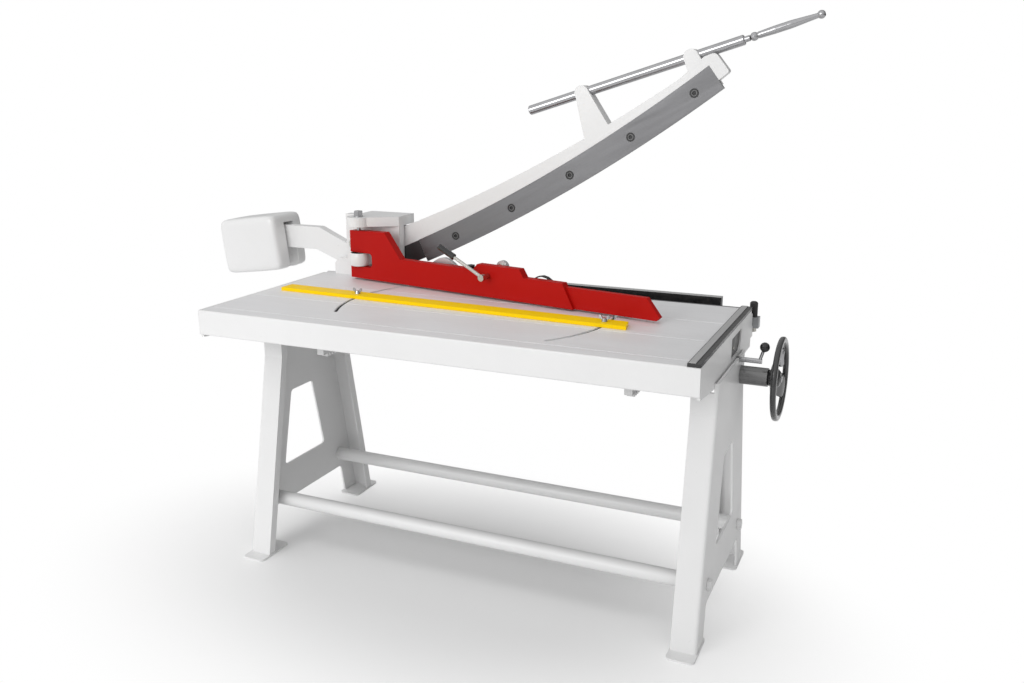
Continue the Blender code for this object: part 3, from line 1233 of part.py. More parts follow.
def build_fence(frame):
    """Yellow bar; its frame has the origin at the centre of the arc slots."""
    low = SEAT_GAP
    high = low + FENCE_THICKNESS
    half = FENCE_WIDTH / 2
    left = -FENCE_LENGTH / 2 + FENCE_SHIFT
    right = left + FENCE_LENGTH
    outline = [(left, FENCE_OFFSET - half), (right, FENCE_OFFSET - half),
               (right - FENCE_END_SLANT, FENCE_OFFSET + half), (left, FENCE_OFFSET + half)]
    fence = piece("mitre_fence", prism(outline, low, high, "Z"), YELLOW_PAINT, frame)
    bores = []
    for side in (-1, 1):
        centre = (side * BOLT_HALF_SPREAD, FENCE_OFFSET)
        bores.append(rod(BOLT_RADIUS + BORE_GAP, low - OVERRUN, high + OVERRUN, centre, "Z", SMALL_ROUND))
    cut(fence, *bores)
    for name, side in (("left", -1), ("right", 1)):
        centre = (side * BOLT_HALF_SPREAD, FENCE_OFFSET)
        head_top = -TOP_THICKNESS - SEAT_GAP
        bolt_top = high + WING_NUT_HEIGHT + SEAT_GAP * 2
        profile = [
            (0, head_top - BOLT_HEAD_HEIGHT), (BOLT_HEAD_RADIUS, head_top - BOLT_HEAD_HEIGHT),
            (BOLT_HEAD_RADIUS, head_top), (BOLT_RADIUS, head_top), (BOLT_RADIUS, bolt_top), (0, bolt_top),
        ]
        piece(f"{name}_fence_bolt", turned(profile, centre, "Z", SMALL_ROUND), ZINC, frame)
        nut_place = (centre[0], centre[1], high + SEAT_GAP)
        nut_frame = add_empty(f"{name}_wing_nut_frame", nut_place, parent=frame)
        build_wing_nut(f"{name}_wing_nut", nut_frame)


def build_wing_nut(name, frame):
    nut = piece(name, turned([
        (BOLT_RADIUS + BORE_GAP, 0), (WING_NUT_RADIUS, 0),
        (WING_NUT_RADIUS * WING_NUT_TOP_SHARE, WING_NUT_HEIGHT),
        (BOLT_RADIUS + BORE_GAP, WING_NUT_HEIGHT)], (0, 0), "Z", SMALL_ROUND, closed=True), CHROME, frame)
    wings = []
    root = BOLT_RADIUS + BORE_GAP * 3
    for side in (-1, 1):
        outline = [(side * root, WING_NUT_HEIGHT / 4),
                   (side * WING_NUT_RADIUS, WING_NUT_HEIGHT / 4),
                   (side * WING_SPAN / 2, WING_HEIGHT * WING_TIP_SHARE), (side * WING_SPAN / 2, WING_HEIGHT),
                   (side * WING_SPAN / 3, WING_HEIGHT), (side * root, WING_NUT_HEIGHT)]
        wings.append(prism(outline, -WING_THICKNESS / 2, WING_THICKNESS / 2, "Y"))
    return fuse(nut, *wings)


# End rail and buffer

def build_end_rail():
    low = (TABLE_LENGTH - RAIL_WIDTH, 0, TABLE_TOP + SEAT_GAP)
    high = (TABLE_LENGTH, RAIL_LENGTH, TABLE_TOP + RAIL_HEIGHT)
    piece("end_rail", block(low, high), BLACK_PLASTIC)
    strip_low = (low[0] + STRIP_MARGIN, STRIP_MARGIN, high[2] + SEAT_GAP)
    strip_high = (low[0] + STRIP_MARGIN + STRIP_WIDTH, RAIL_LENGTH - STRIP_MARGIN,
                  high[2] + SEAT_GAP + STRIP_HEIGHT)
    piece("rail_strip", block(strip_low, strip_high), GROUND_STEEL)


def build_buffer():
    """Rubber stop that the knife's nose lands on, bolted to a lug behind the beam."""
    centre = (BUFFER_X, KNIFE_MIDDLE)
    top = TABLE_TOP + BUFFER_TOP
    bottom = top - BUFFER_LENGTH
    dome = BUFFER_RADIUS / 3
    cap = [
        (BUFFER_BOLT_RADIUS + BORE_GAP, bottom), (BUFFER_RADIUS, bottom), (BUFFER_RADIUS, top - dome),
        (BUFFER_RADIUS - dome, top), (0, top), (0, bottom + BUFFER_LENGTH / 2),
        (BUFFER_BOLT_RADIUS + BORE_GAP, bottom + BUFFER_LENGTH / 2),
    ]
    piece("buffer_cap", turned(cap, centre, "Z", closed=True), BLACK_PLASTIC)
    lug_top = bottom - SEAT_GAP
    lug_bottom = lug_top - BUFFER_LUG_THICKNESS
    lug = piece("buffer_lug", block(
        (BUFFER_X - BUFFER_LUG_LENGTH / 2, TABLE_DEPTH + SEAT_GAP, lug_bottom),
        (BUFFER_X + BUFFER_LUG_LENGTH / 2, KNIFE_MIDDLE + BUFFER_RADIUS, lug_top)), PAINT)
    cut(lug, rod(BUFFER_BOLT_RADIUS + BORE_GAP, lug_bottom - OVERRUN, lug_top + OVERRUN, centre, "Z",
                 SMALL_ROUND))
    bolt_top = bottom + BUFFER_LENGTH / 2 - SEAT_GAP
    nut_top = lug_bottom - SEAT_GAP
    bolt = piece("buffer_bolt", rod(BUFFER_BOLT_RADIUS, nut_top - BUFFER_NUT_LENGTH / 2, bolt_top, centre,
                                    "Z", SMALL_ROUND), ZINC)
    fuse(bolt, prism(hexagon(centre, BUFFER_NUT_ACROSS), nut_top - BUFFER_NUT_LENGTH, nut_top, "Z"))


# Back gauge

def rack_outline(front, back):
    """Side view (y, z) of a rack: smooth top, trapezoid teeth below, a post at the back."""
    addendum = ADDENDUM_SHARE * TOOTH_MODULE
    dedendum = DEDENDUM_SHARE * TOOTH_MODULE
    tip = RACK_PITCH_HEIGHT - addendum
    half = TOOTH_FILL_SHARE * TOOTH_PITCH / 2
    half_tip = half - addendum * math.tan(PRESSURE_ANGLE)
    half_root = half + dedendum * math.tan(PRESSURE_ANGLE)
    first = math.ceil((front + TOOTH_PITCH - SHAFT_Y) / TOOTH_PITCH - 0.5)
    last = math.floor((back - TOOTH_PITCH * 3 - SHAFT_Y) / TOOTH_PITCH - 0.5)
    points = [(front, RACK_ROOT)]
    for number in range(first, last + 1):
        middle = SHAFT_Y + (number + 0.5) * TOOTH_PITCH
        points += [(middle - half_root, RACK_ROOT), (middle - half_tip, tip),
                   (middle + half_tip, tip), (middle + half_root, RACK_ROOT)]
    bar_bottom = TABLE_TOP + GAUGE_TOP - GAUGE_HEIGHT - SEAT_GAP
    return points + [(back, RACK_ROOT), (back, bar_bottom), (back - GAUGE_THICKNESS, bar_bottom),
                     (back - GAUGE_THICKNESS, RACK_TOP), (front, RACK_TOP)]


def build_gauge(frame):
    """Gauge bar behind the blades on two toothed racks; the frame moves along Y."""
    back = GAUGE_FRONT + GAUGE_THICKNESS
    origin = Matrix.Translation(-frame.location)
    low = (GAUGE_START, GAUGE_FRONT, TABLE_TOP + GAUGE_TOP - GAUGE_HEIGHT)
    bar = moved(block(low, (GAUGE_END, back, TABLE_TOP + GAUGE_TOP)), origin)
    piece("back_gauge_bar", bar, BLACK_STEEL, frame)
    for name, place in zip(("left_rack", "right_rack"), RACK_PLACES):
        rack = prism(rack_outline(RACK_FRONT, back), place - RACK_WIDTH / 2, place + RACK_WIDTH / 2, "X")
        piece(name, moved(rack, origin), GROUND_STEEL, frame)


def pinion_outline():
    """Side view of a pinion on the shaft, a tooth straight up."""
    addendum = ADDENDUM_SHARE * TOOTH_MODULE
    dedendum = DEDENDUM_SHARE * TOOTH_MODULE
    half = TOOTH_FILL_SHARE * TOOTH_PITCH / 2
    half_tip = half - addendum * math.tan(PRESSURE_ANGLE)
    rows = ((PITCH_RADIUS - dedendum, -half), (PITCH_RADIUS, -half), (PITCH_RADIUS + addendum, -half_tip),
            (PITCH_RADIUS + addendum, half_tip), (PITCH_RADIUS, half), (PITCH_RADIUS - dedendum, half))
    points = []
    for tooth in range(PINION_TEETH):
        middle = math.pi / 2 - 2 * math.pi * tooth / PINION_TEETH
        for radius, offset in rows:
            angle = middle - offset / radius
            points.append((radius * math.cos(angle), radius * math.sin(angle)))
    return points


def build_rack_guides():
    """Hangers under the table: each holds a rack from above and the shaft below it."""
    top = TABLE_TOP - TOP_THICKNESS - SEAT_GAP
    bottom = SHAFT_HEIGHT - GUIDE_DROP
    for name, place in zip(("left_rack_guide", "right_rack_guide"), RACK_PLACES):
        half = RACK_WIDTH / 2 + BORE_GAP
        outer = half + GUIDE_WALL
        roof = RACK_TOP + BORE_GAP
        section = [
            (place - outer, bottom), (place - half, bottom), (place - half, roof), (place + half, roof),
            (place + half, bottom), (place + outer, bottom), (place + outer, top), (place - outer, top),
        ]
        front, back = SHAFT_Y - GUIDE_LENGTH / 2, SHAFT_Y + GUIDE_LENGTH / 2
        guide = piece(name, prism(section, front, back, "Y"), PAINT)
        cut(guide, rod(SHAFT_RADIUS + BORE_GAP, place - outer - OVERRUN, place + outer + OVERRUN,
                       (SHAFT_Y, SHAFT_HEIGHT), "X"))


def build_shaft_bearing():
    """Round bearing barrel on the outside of the right frame."""
    start = RIGHT_STAND_FACE + SEAT_GAP
    profile = [(SHAFT_RADIUS + BORE_GAP, start), (BEARING_RADIUS, start),
               (BEARING_RADIUS, start + BEARING_LENGTH), (SHAFT_RADIUS + BORE_GAP, start + BEARING_LENGTH)]
    piece("shaft_bearing", turned(profile, (SHAFT_Y, SHAFT_HEIGHT), "X", closed=True), BLACK_STEEL)


def build_handwheel(frame):
    """Cross shaft with a pinion under each rack, and the wheel on its right end."""
    shift = frame.location.x
    shaft_start = RACK_PLACES[0] - SHAFT_OVERHANG - shift
    hub_start = RIGHT_STAND_FACE + BEARING_LENGTH + SEAT_GAP * 2 - shift
    hub_end = hub_start + WHEEL_HUB_LENGTH
    shaft = piece("cross_shaft", rod(SHAFT_RADIUS, shaft_start, hub_end - SPOKE_THICKNESS, (0, 0), "X"),
                  BLADE_STEEL, frame)
    pinion_half = RACK_WIDTH / 2 - SEAT_GAP
    pinions = [prism(pinion_outline(), place - pinion_half - shift, place + pinion_half - shift, "X")
               for place in RACK_PLACES]
    fuse(shaft, *pinions)

    rim_start = hub_end - WHEEL_RIM_WIDTH
    edge = WHEEL_RIM_DEPTH / 4
    inner = WHEEL_RADIUS - WHEEL_RIM_DEPTH
    rim = [(inner, rim_start + edge), (inner + edge, rim_start), (WHEEL_RADIUS - edge, rim_start),
           (WHEEL_RADIUS, rim_start + edge), (WHEEL_RADIUS, hub_end - edge), (WHEEL_RADIUS - edge, hub_end),
           (inner + edge, hub_end), (inner, hub_end - edge)]
    wheel = piece("handwheel", turned(rim, (0, 0), "X", FINE_ROUND, closed=True), BLACK_PLASTIC, frame)
    hub = rod(WHEEL_HUB_RADIUS, hub_start, hub_end, (0, 0), "X")
    spokes = []
    middle = (rim_start + hub_end) / 2
    for number in range(WHEEL_SPOKES):
        bar = block((middle - SPOKE_THICKNESS / 2, -SPOKE_WIDTH / 2, WHEEL_HUB_RADIUS / 2),
                    (middle + SPOKE_THICKNESS / 2, SPOKE_WIDTH / 2, inner + edge))
        spokes.append(moved(bar, Matrix.Rotation(2 * math.pi * number / WHEEL_SPOKES, 4, "X")))
    fuse(wheel, hub, *spokes)
    cut(wheel, rod(SHAFT_RADIUS + BORE_GAP, hub_start - OVERRUN, hub_end - SPOKE_THICKNESS + SEAT_GAP,
                   (0, 0), "X"))


# Lock lever

def build_lock_stud():
    start = TABLE_LENGTH - APRON_THICKNESS
    end = TABLE_LENGTH + LOCK_STUD_LENGTH
    flange = TABLE_LENGTH + SEAT_GAP
    profile = [(0, start), (LOCK_STUD_RADIUS, start), (LOCK_STUD_RADIUS, flange),
               (LOCK_SLEEVE_RADIUS, flange), (LOCK_SLEEVE_RADIUS, end), (0, end)]
    piece("lock_stud", turned(profile, (LOCK_Y, LOCK_HEIGHT), "X", SMALL_ROUND), CHROME)


def build_lock_lever(frame):
    """Sleeve along X with a bent rod up to the ball."""
    sleeve = piece("lock_lever", rod(LOCK_SLEEVE_RADIUS, 0, LOCK_SLEEVE_LENGTH, (0, 0), "X", SMALL_ROUND),
                   CHROME, frame)
    elbow = LOCK_SLEEVE_LENGTH - LOCK_SLEEVE_RADIUS
    top = Vector((elbow + LOCK_ROD_LEAN, 0, LOCK_ROD_RISE - LOCK_BALL_RADIUS / 2))
    fuse(sleeve, wire([(elbow, 0, 0), top], LOCK_ROD_RADIUS))
    along = (top - Vector((elbow, 0, 0))).normalized()
    middle = top + along * (LOCK_BALL_RADIUS + SEAT_GAP)
    ball = bmesh.new()
    bmesh.ops.create_uvsphere(ball, u_segments=SMALL_ROUND, v_segments=10, radius=LOCK_BALL_RADIUS)
    piece("lock_ball", moved(ball, Matrix.Translation(middle)), BLACK_PLASTIC, frame)


def build_joint_frames():
    """One empty on each joint's axis, at rest."""
    knife = add_empty("knife_pivot", (PIVOT_X, KNIFE_MIDDLE, PIVOT_Z), (0, -KNIFE_OPEN_ANGLE, 0))
    hold_down = add_empty("hold_down_hinge", (HOLD_HINGE_X, HOLD_HINGE_Y, TABLE_TOP), (0, 0, HOLD_ANGLE))
    lever = add_empty("lever_shaft", (LEVER_S - HOLD_HINGE_S, 0, LEVER_HEIGHT), parent=hold_down)
    presser = add_empty("presser_frame", (0, 0, 0), parent=hold_down)
    fence = add_empty("fence_centre", (TABLE_LENGTH / 2, FENCE_CENTRE_Y, TABLE_TOP), (0, 0, FENCE_ANGLE))
    gauge = add_empty("gauge_frame", ((GAUGE_START + GAUGE_END) / 2, GAUGE_FRONT, TABLE_TOP))
    wheel = add_empty("handwheel_axis", (RIGHT_STAND_FACE + BEARING_LENGTH, SHAFT_Y, SHAFT_HEIGHT))
    lock = add_empty("lock_axis", (TABLE_LENGTH + LOCK_STUD_LENGTH + SEAT_GAP, LOCK_Y, LOCK_HEIGHT))
    return knife, hold_down, lever, presser, fence, gauge, wheel, lock


def centre_over_origin():
    """Move the whole machine so that its box stands centred over the origin."""
    bpy.context.view_layer.update()
    graph = bpy.context.evaluated_depsgraph_get()
    corners = []
    for thing in bpy.data.objects:
        if thing.type != "MESH" or thing.hide_render:
            continue
        mesh = thing.evaluated_get(graph).to_mesh()
        corners += [thing.matrix_world @ vertex.co for vertex in mesh.vertices]
    middle_x = (min(corner.x for corner in corners) + max(corner.x for corner in corners)) / 2
    middle_y = (min(corner.y for corner in corners) + max(corner.y for corner in corners)) / 2
    for thing in bpy.data.objects:
        if thing.parent is None:
            thing.location.x -= middle_x
            thing.location.y -= middle_y
    print(f"shift to the origin: x {-middle_x:.5f} y {-middle_y:.5f}")


def main():
    clear_scene()
    build_table_top()
    build_front_apron()
    build_end_plates()
    build_blade_beam()
    build_ribs()
    build_bearers()
    build_stand_frame("left_stand_frame", LEFT_STAND_X, -1)
    build_stand_frame("right_stand_frame", RIGHT_STAND_FACE, 1)
    build_tie_tubes()
    build_pivot_housing()
    build_rear_cheek()
    build_pivot_pin()
    build_hold_down_pin()
    build_end_rail()
    build_buffer()
    build_rack_guides()
    build_shaft_bearing()
    build_lock_stud()
    knife, hold_down, lever, presser, fence, gauge, wheel, lock = build_joint_frames()
    build_knife(knife)
    build_handle(knife)
    build_hold_down(hold_down)
    build_clamp_lever(lever)
    build_presser(presser)
    build_fence(fence)
    build_gauge(gauge)
    build_handwheel(wheel)
    build_lock_lever(lock)
    centre_over_origin()


main()
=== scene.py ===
"""Looks of the hand lever guillotine shear: finishes, small details, floor, light and camera."""

import json
import math
from functools import partial
from typing import NamedTuple

import bmesh
import bpy
from mathutils import Matrix, Vector


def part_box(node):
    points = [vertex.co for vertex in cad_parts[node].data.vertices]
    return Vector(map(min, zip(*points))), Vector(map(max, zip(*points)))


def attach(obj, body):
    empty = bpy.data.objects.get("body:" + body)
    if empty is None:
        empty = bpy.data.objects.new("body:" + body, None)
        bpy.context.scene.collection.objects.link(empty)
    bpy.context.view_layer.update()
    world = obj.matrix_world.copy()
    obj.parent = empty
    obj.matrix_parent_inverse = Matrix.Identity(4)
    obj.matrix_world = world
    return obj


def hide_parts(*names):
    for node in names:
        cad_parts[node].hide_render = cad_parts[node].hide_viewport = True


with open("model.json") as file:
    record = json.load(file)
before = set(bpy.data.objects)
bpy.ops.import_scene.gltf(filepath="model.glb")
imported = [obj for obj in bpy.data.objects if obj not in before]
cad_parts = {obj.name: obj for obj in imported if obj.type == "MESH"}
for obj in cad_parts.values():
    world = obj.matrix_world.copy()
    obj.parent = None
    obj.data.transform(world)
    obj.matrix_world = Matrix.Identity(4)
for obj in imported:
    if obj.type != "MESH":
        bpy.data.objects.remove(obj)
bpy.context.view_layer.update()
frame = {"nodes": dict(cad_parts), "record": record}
nodes = frame["nodes"]

UPWARD = (0, 0, 1)
OUT_OF_THE_END = (1, 0, 0)
FULL_WHITE = (1.0, 1.0, 1.0, 1.0)


class Grain(NamedTuple):
    """A noise texture: the size of its spots in metres, how finely they break up, and their stretch."""

    size: float
    detail: float = 3.0
    stretch: tuple = (1, 1, 1)


class Span(NamedTuple):
    """Values from start to full are spread over the range from least to most."""

    start: float
    full: float
    least: float = 0.0
    most: float = 1.0


# Camera, in the machine's own frame
CAMERA_PLACE = (1.27462, -2.3605, 1.3334)
CAMERA_FORWARD = (-0.39835, 0.88868, -0.22710)
CAMERA_ROLL = -0.0032
CAMERA_LENS = 33.73
CAMERA_SENSOR = 36.0
CAMERA_SHIFT_X = 0.0014
CAMERA_SHIFT_Y = -0.0328

# Tilts of the moving pieces in the rest pose
KNIFE_TILT = math.radians(-27.9)
HOLD_DOWN_TILT = math.radians(-10.82)
WEIGHT_TILT = math.radians(-7.5)

# Centre and radius of the arc that the blade's upper edge follows, in X and Z
BLADE_ARC_CENTRE = (-2.1885, 5.2551)
BLADE_ARC_RADIUS = 4.821

# Colours
LIGHT_GREY = (0.80, 0.80, 0.80)
RED = (0.45, 0.004, 0.002)
YELLOW = (1.0, 0.66, 0.0005)
TABLE_STEEL = (0.84, 0.84, 0.85)
BLADE_STEEL = (0.18, 0.18, 0.185)
# Painted shade on the knife beam's heel, left of the blade
HEEL_PAINTED_SHADE = (0.045, 0.045, 0.047)
MACHINED_STEEL = (0.62, 0.62, 0.62)
ZINC = (0.60, 0.59, 0.55)
CHROME = (0.46, 0.46, 0.47)
BLACK_PLASTIC = (0.014, 0.014, 0.015)
BLACK_STEEL = (0.030, 0.030, 0.031)
RUBBER = (0.012, 0.012, 0.012)
# Painted shade: the dark grey of the plate in the end window
PANEL_PAINTED_SHADE = (0.085, 0.085, 0.085)
BARE_METAL = (0.45, 0.45, 0.46)
# Painted light near the top of the table's grooves and slots, and painted shade deep in them
CUT_PAINTED_LIGHT = (1.0, 1.0, 1.0)
CUT_PAINTED_SHADE = (0.035, 0.035, 0.035)
BEARING_STEEL = (0.22, 0.22, 0.22)
LUG_GREY = (0.34, 0.35, 0.36)
GRIME = (0.10, 0.09, 0.08)
RUBBED_PLASTIC = (0.07, 0.07, 0.07)
# Rubbed edges of black oxide, and the painted highlight round screw sockets
RUBBED_STEEL_AND_HIGHLIGHT = (0.16, 0.16, 0.16)
OXIDE_BROWN = (0.05, 0.048, 0.045)

# All finishes: roughness follows the middle of a texture's values, by a spread of (less, more)
ROUGH_START = 0.3
ROUGH_FULL = 0.7
BEVEL_SAMPLES = 4
EDGE_SPAN = Span(0.995, 0.80)
COAT_ROUGHNESS = 0.15
FINE_CLOUD = Grain(0.012)
SEED_STEP = 1.37

# Powder coat
PAINT_EDGE = 0.0015
PAINT_CLOUD = Grain(0.30)
PAINT_CLOUD_SPAN = Span(0.40, 0.75)
PAINT_CLOUD_SHARE = 0.96
PAINT_DUST = Grain(0.010, detail=6.0)
PAINT_DUST_SPAN = Span(0.68, 0.78, most=0.10)
PAINT_MARK = Grain(0.045, stretch=(1, 0.03, 0.03))
PAINT_MARK_TURN = (0.3, 0.2, 0.5)
PAINT_MARK_SPAN = Span(0.70, 0.78, most=0.10)
PAINT_MARK_SHARE = 0.6
# Spots along painted edges: chips, and on red a painted highlight
PAINT_CHIP_AND_HIGHLIGHT = Grain(0.020)
PAINT_CHIP_AND_HIGHLIGHT_SPAN = Span(0.35, 0.75, least=0.1, most=0.5)
PAINT_SHEEN = Grain(0.060)
PAINT_SPREAD = (-0.05, 0.07)
PAINT_PEEL = Grain(0.0022, detail=1.0)
PAINT_PEEL_DEPTH = 0.00003
PAINT_COAT_SHARE = 0.3

# Ground steel
STEEL_EDGE = 0.0008
STEEL_LINE = Grain(0.0009, detail=4.0)
STEEL_LINE_SPAN = Span(0.35, 0.65, most=0.45)
STEEL_LINE_SHARE = 0.86
STEEL_LINE_DEPTH = 0.00003
STEEL_STAIN = Grain(0.14, detail=5.0, stretch=(1.8, 1, 1))
STEEL_STAIN_SPAN = Span(0.48, 0.72, most=0.50)
STEEL_STAIN_SHARE = 0.90
STEEL_SPECK = Grain(0.005, detail=4.0)
STEEL_SPECK_SPAN = Span(0.70, 0.80, most=0.25)
STEEL_RUB_SPAN = Span(0.3, 0.6, least=0.2, most=0.7)
STEEL_SHEEN = Grain(0.020, stretch=(12, 1, 1))
STEEL_SPREAD = (-0.06, 0.08)

# Chrome and zinc plate
PLATE_EDGE = 0.0005
PLATE_HAZE = Grain(0.030, detail=5.0)
PLATE_HAZE_SPAN = Span(0.45, 0.70, most=0.35)
PLATE_HAZE_SHARE = 0.80
PLATE_RUB_SPAN = Span(0.3, 0.7, least=0.1, most=0.4)
PLATE_RUB_SHARE = 0.65
PLATE_SPREAD = (-0.03, 0.06)
PLATE_RIPPLE = Grain(0.002, detail=2.0)
PLATE_RIPPLE_DEPTH = 0.00002

# Plastic and rubber
MOULD_EDGE = 0.0012
MOULD_WEAR = Grain(0.030, detail=4.0)
MOULD_WEAR_SPAN = Span(0.50, 0.75, most=0.5)
MOULD_WEAR_SHARE = 1.8
MOULD_RUB_SPAN = Span(0.3, 0.7, least=0.1, most=0.5)
MOULD_SPREAD = (-0.08, 0.10)
MOULD_COAT_IOR = 1.5
PLASTIC_GRAIN = Grain(0.0008, detail=2.0)
PLASTIC_GRAIN_DEPTH = 0.00005
RUBBER_GRAIN = Grain(0.0014, detail=2.0)
RUBBER_GRAIN_DEPTH = 0.0001

# Black oxide
BLACK_EDGE = 0.0006
BLACK_CLOUD = Grain(0.012, detail=5.0)
BLACK_CLOUD_SPAN = Span(0.45, 0.75, most=0.6)
BLACK_RUB_SPAN = Span(0.35, 0.65, least=0.15, most=0.7)
BLACK_SPREAD = (-0.06, 0.12)
BLACK_GRAIN = Grain(0.0012)
BLACK_GRAIN_DEPTH = 0.00003

# Marks that only some pieces have: painted light and shade in the table's cuts, painted shade on the knife
# beam's heel, painted highlights round screw sockets, and the back gauge bar's ground top
FRONT_FACE_SPAN = Span(-0.90, -0.98)
TOP_FACE_SPAN = Span(0.90, 0.98)
CUT_START = 0.0003
CUT_FULL = 0.0008
CUT_COVER = 0.85
CUT_DEEP = 0.0035
HEEL_FADE = 0.001
HEEL_REACH = 0.060
SOCKET_RADIUS = 0.0055
SOCKET_RIM = 0.0075
SOCKET_FADE = 0.0008
SOCKET_COVER = 0.8

# Shapes in general: how finely curves are stepped, and the slope of a button's side
ROUND_STEPS = 32
HUB_STEPS = 40
RIM_STEPS = 96
LOOP_POINTS = 14
MERGE_DISTANCE = 0.00001
BUTTON_TOP_SHARE = 0.7

# Handwheel
WHEEL_RIM_THICKNESS = 0.015
WHEEL_RIM_DEPTH = 0.017
WHEEL_RIM_POWER = 0.75
WHEEL_HUB_RADIUS = 0.021
WHEEL_HUB_CHAMFER = 0.00105
WHEEL_BOSS_RADIUS = 0.026
WHEEL_NOSE_RADIUS = 0.0189
WHEEL_FACE_RADIUS = 0.0168
WHEEL_FACE_INSET = 0.005
WHEEL_FLARE_SHARE = 0.35
WHEEL_BOSS_SHARES = (0.45, 0.62)
WHEEL_NOSE_SHARE = 0.95
WHEEL_CAP_RADIUS = 0.0095
WHEEL_CAP_HEIGHT = 0.004
WHEEL_CAP_SIDE_SHARE = 0.6
SPOKES = 3
SPOKE_START = math.radians(90.0)
SPOKE_ROOT_WIDTH = 0.072
SPOKE_TIP_WIDTH = 0.060
SPOKE_THICKNESS = 0.008
SPOKE_ROOT_REACH = 0.0168
SPOKE_FOOT_SHARE = 0.30
SPOKE_REACH_SHARE = 0.94
SPOKE_POWER = 0.7
SPOKE_STEPS = 8
GRIP_RADIUS = 0.0085
GRIP_LENGTH = 0.046
GRIP_SHARES = ((0, 0), (0.75, 0), (1, 0.12), (0.85, 0.5), (1, 0.85), (0.7, 1), (0, 1))
GRIP_PIN_RADIUS = 0.0045
GRIP_PIN_LENGTH = 0.012
GRIP_PIN_INSET = 0.004

# Hinge bolt and hinge knuckle
HINGE_PLACE = (-0.39248, 0.189)
HEX_SIDES = 6
BOLT_ACROSS = 0.026
BOLT_HEIGHT = 0.016
BOLT_CHAMFER = 0.0022
BOLT_TOP_SHARE = 0.86
WASHER_RADIUS = 0.0150
WASHER_HEIGHT = 0.0022
KNUCKLE_END_RADIUS = 0.0283
KNUCKLE_CROWN = 0.0030
KNUCKLE_LOW = 0.0450
KNUCKLE_HIGH = 0.0860

# Plate and screw in the end window
TABLE_END_X = 0.83252
WINDOW_FRONT = -0.021
WINDOW_BACK = 0.099
WINDOW_TOP = 0.711
WINDOW_BOTTOM = 0.656
WINDOW_CHAMFER = 0.022
WINDOW_MARGIN = 0.0006
PANEL_BACK = 0.0074
PANEL_FACE = 0.0040
PANEL_ROUGHNESS = 0.40
PANEL_SEED = 3.3
SCREW_FROM_FRONT = 0.042
SCREW_FROM_TOP = 0.034
SCREW_RADIUS = 0.0052
SCREW_HEIGHT = 0.0020
SCREW_SIDE_SHARE = 0.5

# Counterweight
WEIGHT_SIZE = (0.236, 0.160, 0.187)
WEIGHT_SLOT_DEPTH = 0.070
WEIGHT_SLOT_WIDTH = 0.050
WEIGHT_SLOT_TOP = 0.0623
WEIGHT_CUTS = 20
WEIGHT_SQUARENESS = 12.0
WEIGHT_CROWN_SHARE = 0.025

# Floor, sky and lamps
FLOOR_RADIUS = 9.0
FLOOR_STEPS = 96
FLOOR_COLOUR = (0.97, 0.97, 0.97)
FLOOR_ROUGHNESS = 0.6
FLOOR_MIDDLE = (0.10, -0.25, 0.0)
FLOOR_STRETCH = (0.85, 1.35, 1.0)
FLOOR_CLEAR_SPAN = Span(0.35, 1.10)
SKY_FROM = (-0.46, -0.60, 0.75)
SKY_SPAN = Span(-0.7, 0.8, least=0.05, most=0.92)
KEY_POWER = 45.0
KEY_PLACE = (-1.2, -3.7, 1.95)
KEY_SIZE = 1.9
FILL_POWER = 1.5
FILL_PLACE = (3.4, -0.6, 2.2)
FILL_SIZE = 2.2
LAMP_TARGET = (0.0, 0.0, 0.7)

# Sockets of the Mix node that have no name of their own
MIX_UNDER = 6
MIX_OVER = 7
MIX_RESULT = 2


# Materials

class Nodes:
    """Adds nodes to one tree and joins them."""

    def __init__(self, tree):
        self.tree = tree

    def add(self, kind):
        return self.tree.nodes.new(kind)

    def link(self, source, target):
        self.tree.links.new(source, target)

    def feed(self, value, target):
        """Join a socket to the target, or write a plain value into it."""
        if isinstance(value, bpy.types.NodeSocket):
            self.link(value, target)
        else:
            target.default_value = value

    def between(self, value, span, interpolation="LINEAR"):
        node = self.add("ShaderNodeMapRange")
        node.interpolation_type = interpolation
        node.inputs["From Min"].default_value = span.start
        node.inputs["From Max"].default_value = span.full
        node.inputs["To Min"].default_value = span.least
        node.inputs["To Max"].default_value = span.most
        self.link(value, node.inputs["Value"])
        return node.outputs["Result"]

    def vector_math(self, operation, one, two=None):
        """The node of a sum on vectors; its result is read from Vector or Value."""
        node = self.add("ShaderNodeVectorMath")
        node.operation = operation
        self.link(one, node.inputs[0])
        if two is not None:
            self.feed(two, node.inputs[1])
        return node

    def product(self, one, two):
        node = self.add("ShaderNodeMath")
        node.operation = "MULTIPLY"
        self.link(one, node.inputs[0])
        self.link(two, node.inputs[1])
        return node.outputs["Value"]

    def camera_rays(self):
        return self.add("ShaderNodeLightPath").outputs["Is Camera Ray"]

    def mixed(self, share, one, two):
        """One shader where the share is 0 and the other where it is 1."""
        mix = self.add("ShaderNodeMixShader")
        self.link(share, mix.inputs["Fac"])
        self.link(one, mix.inputs[1])
        self.link(two, mix.inputs[2])
        return mix.outputs["Shader"]


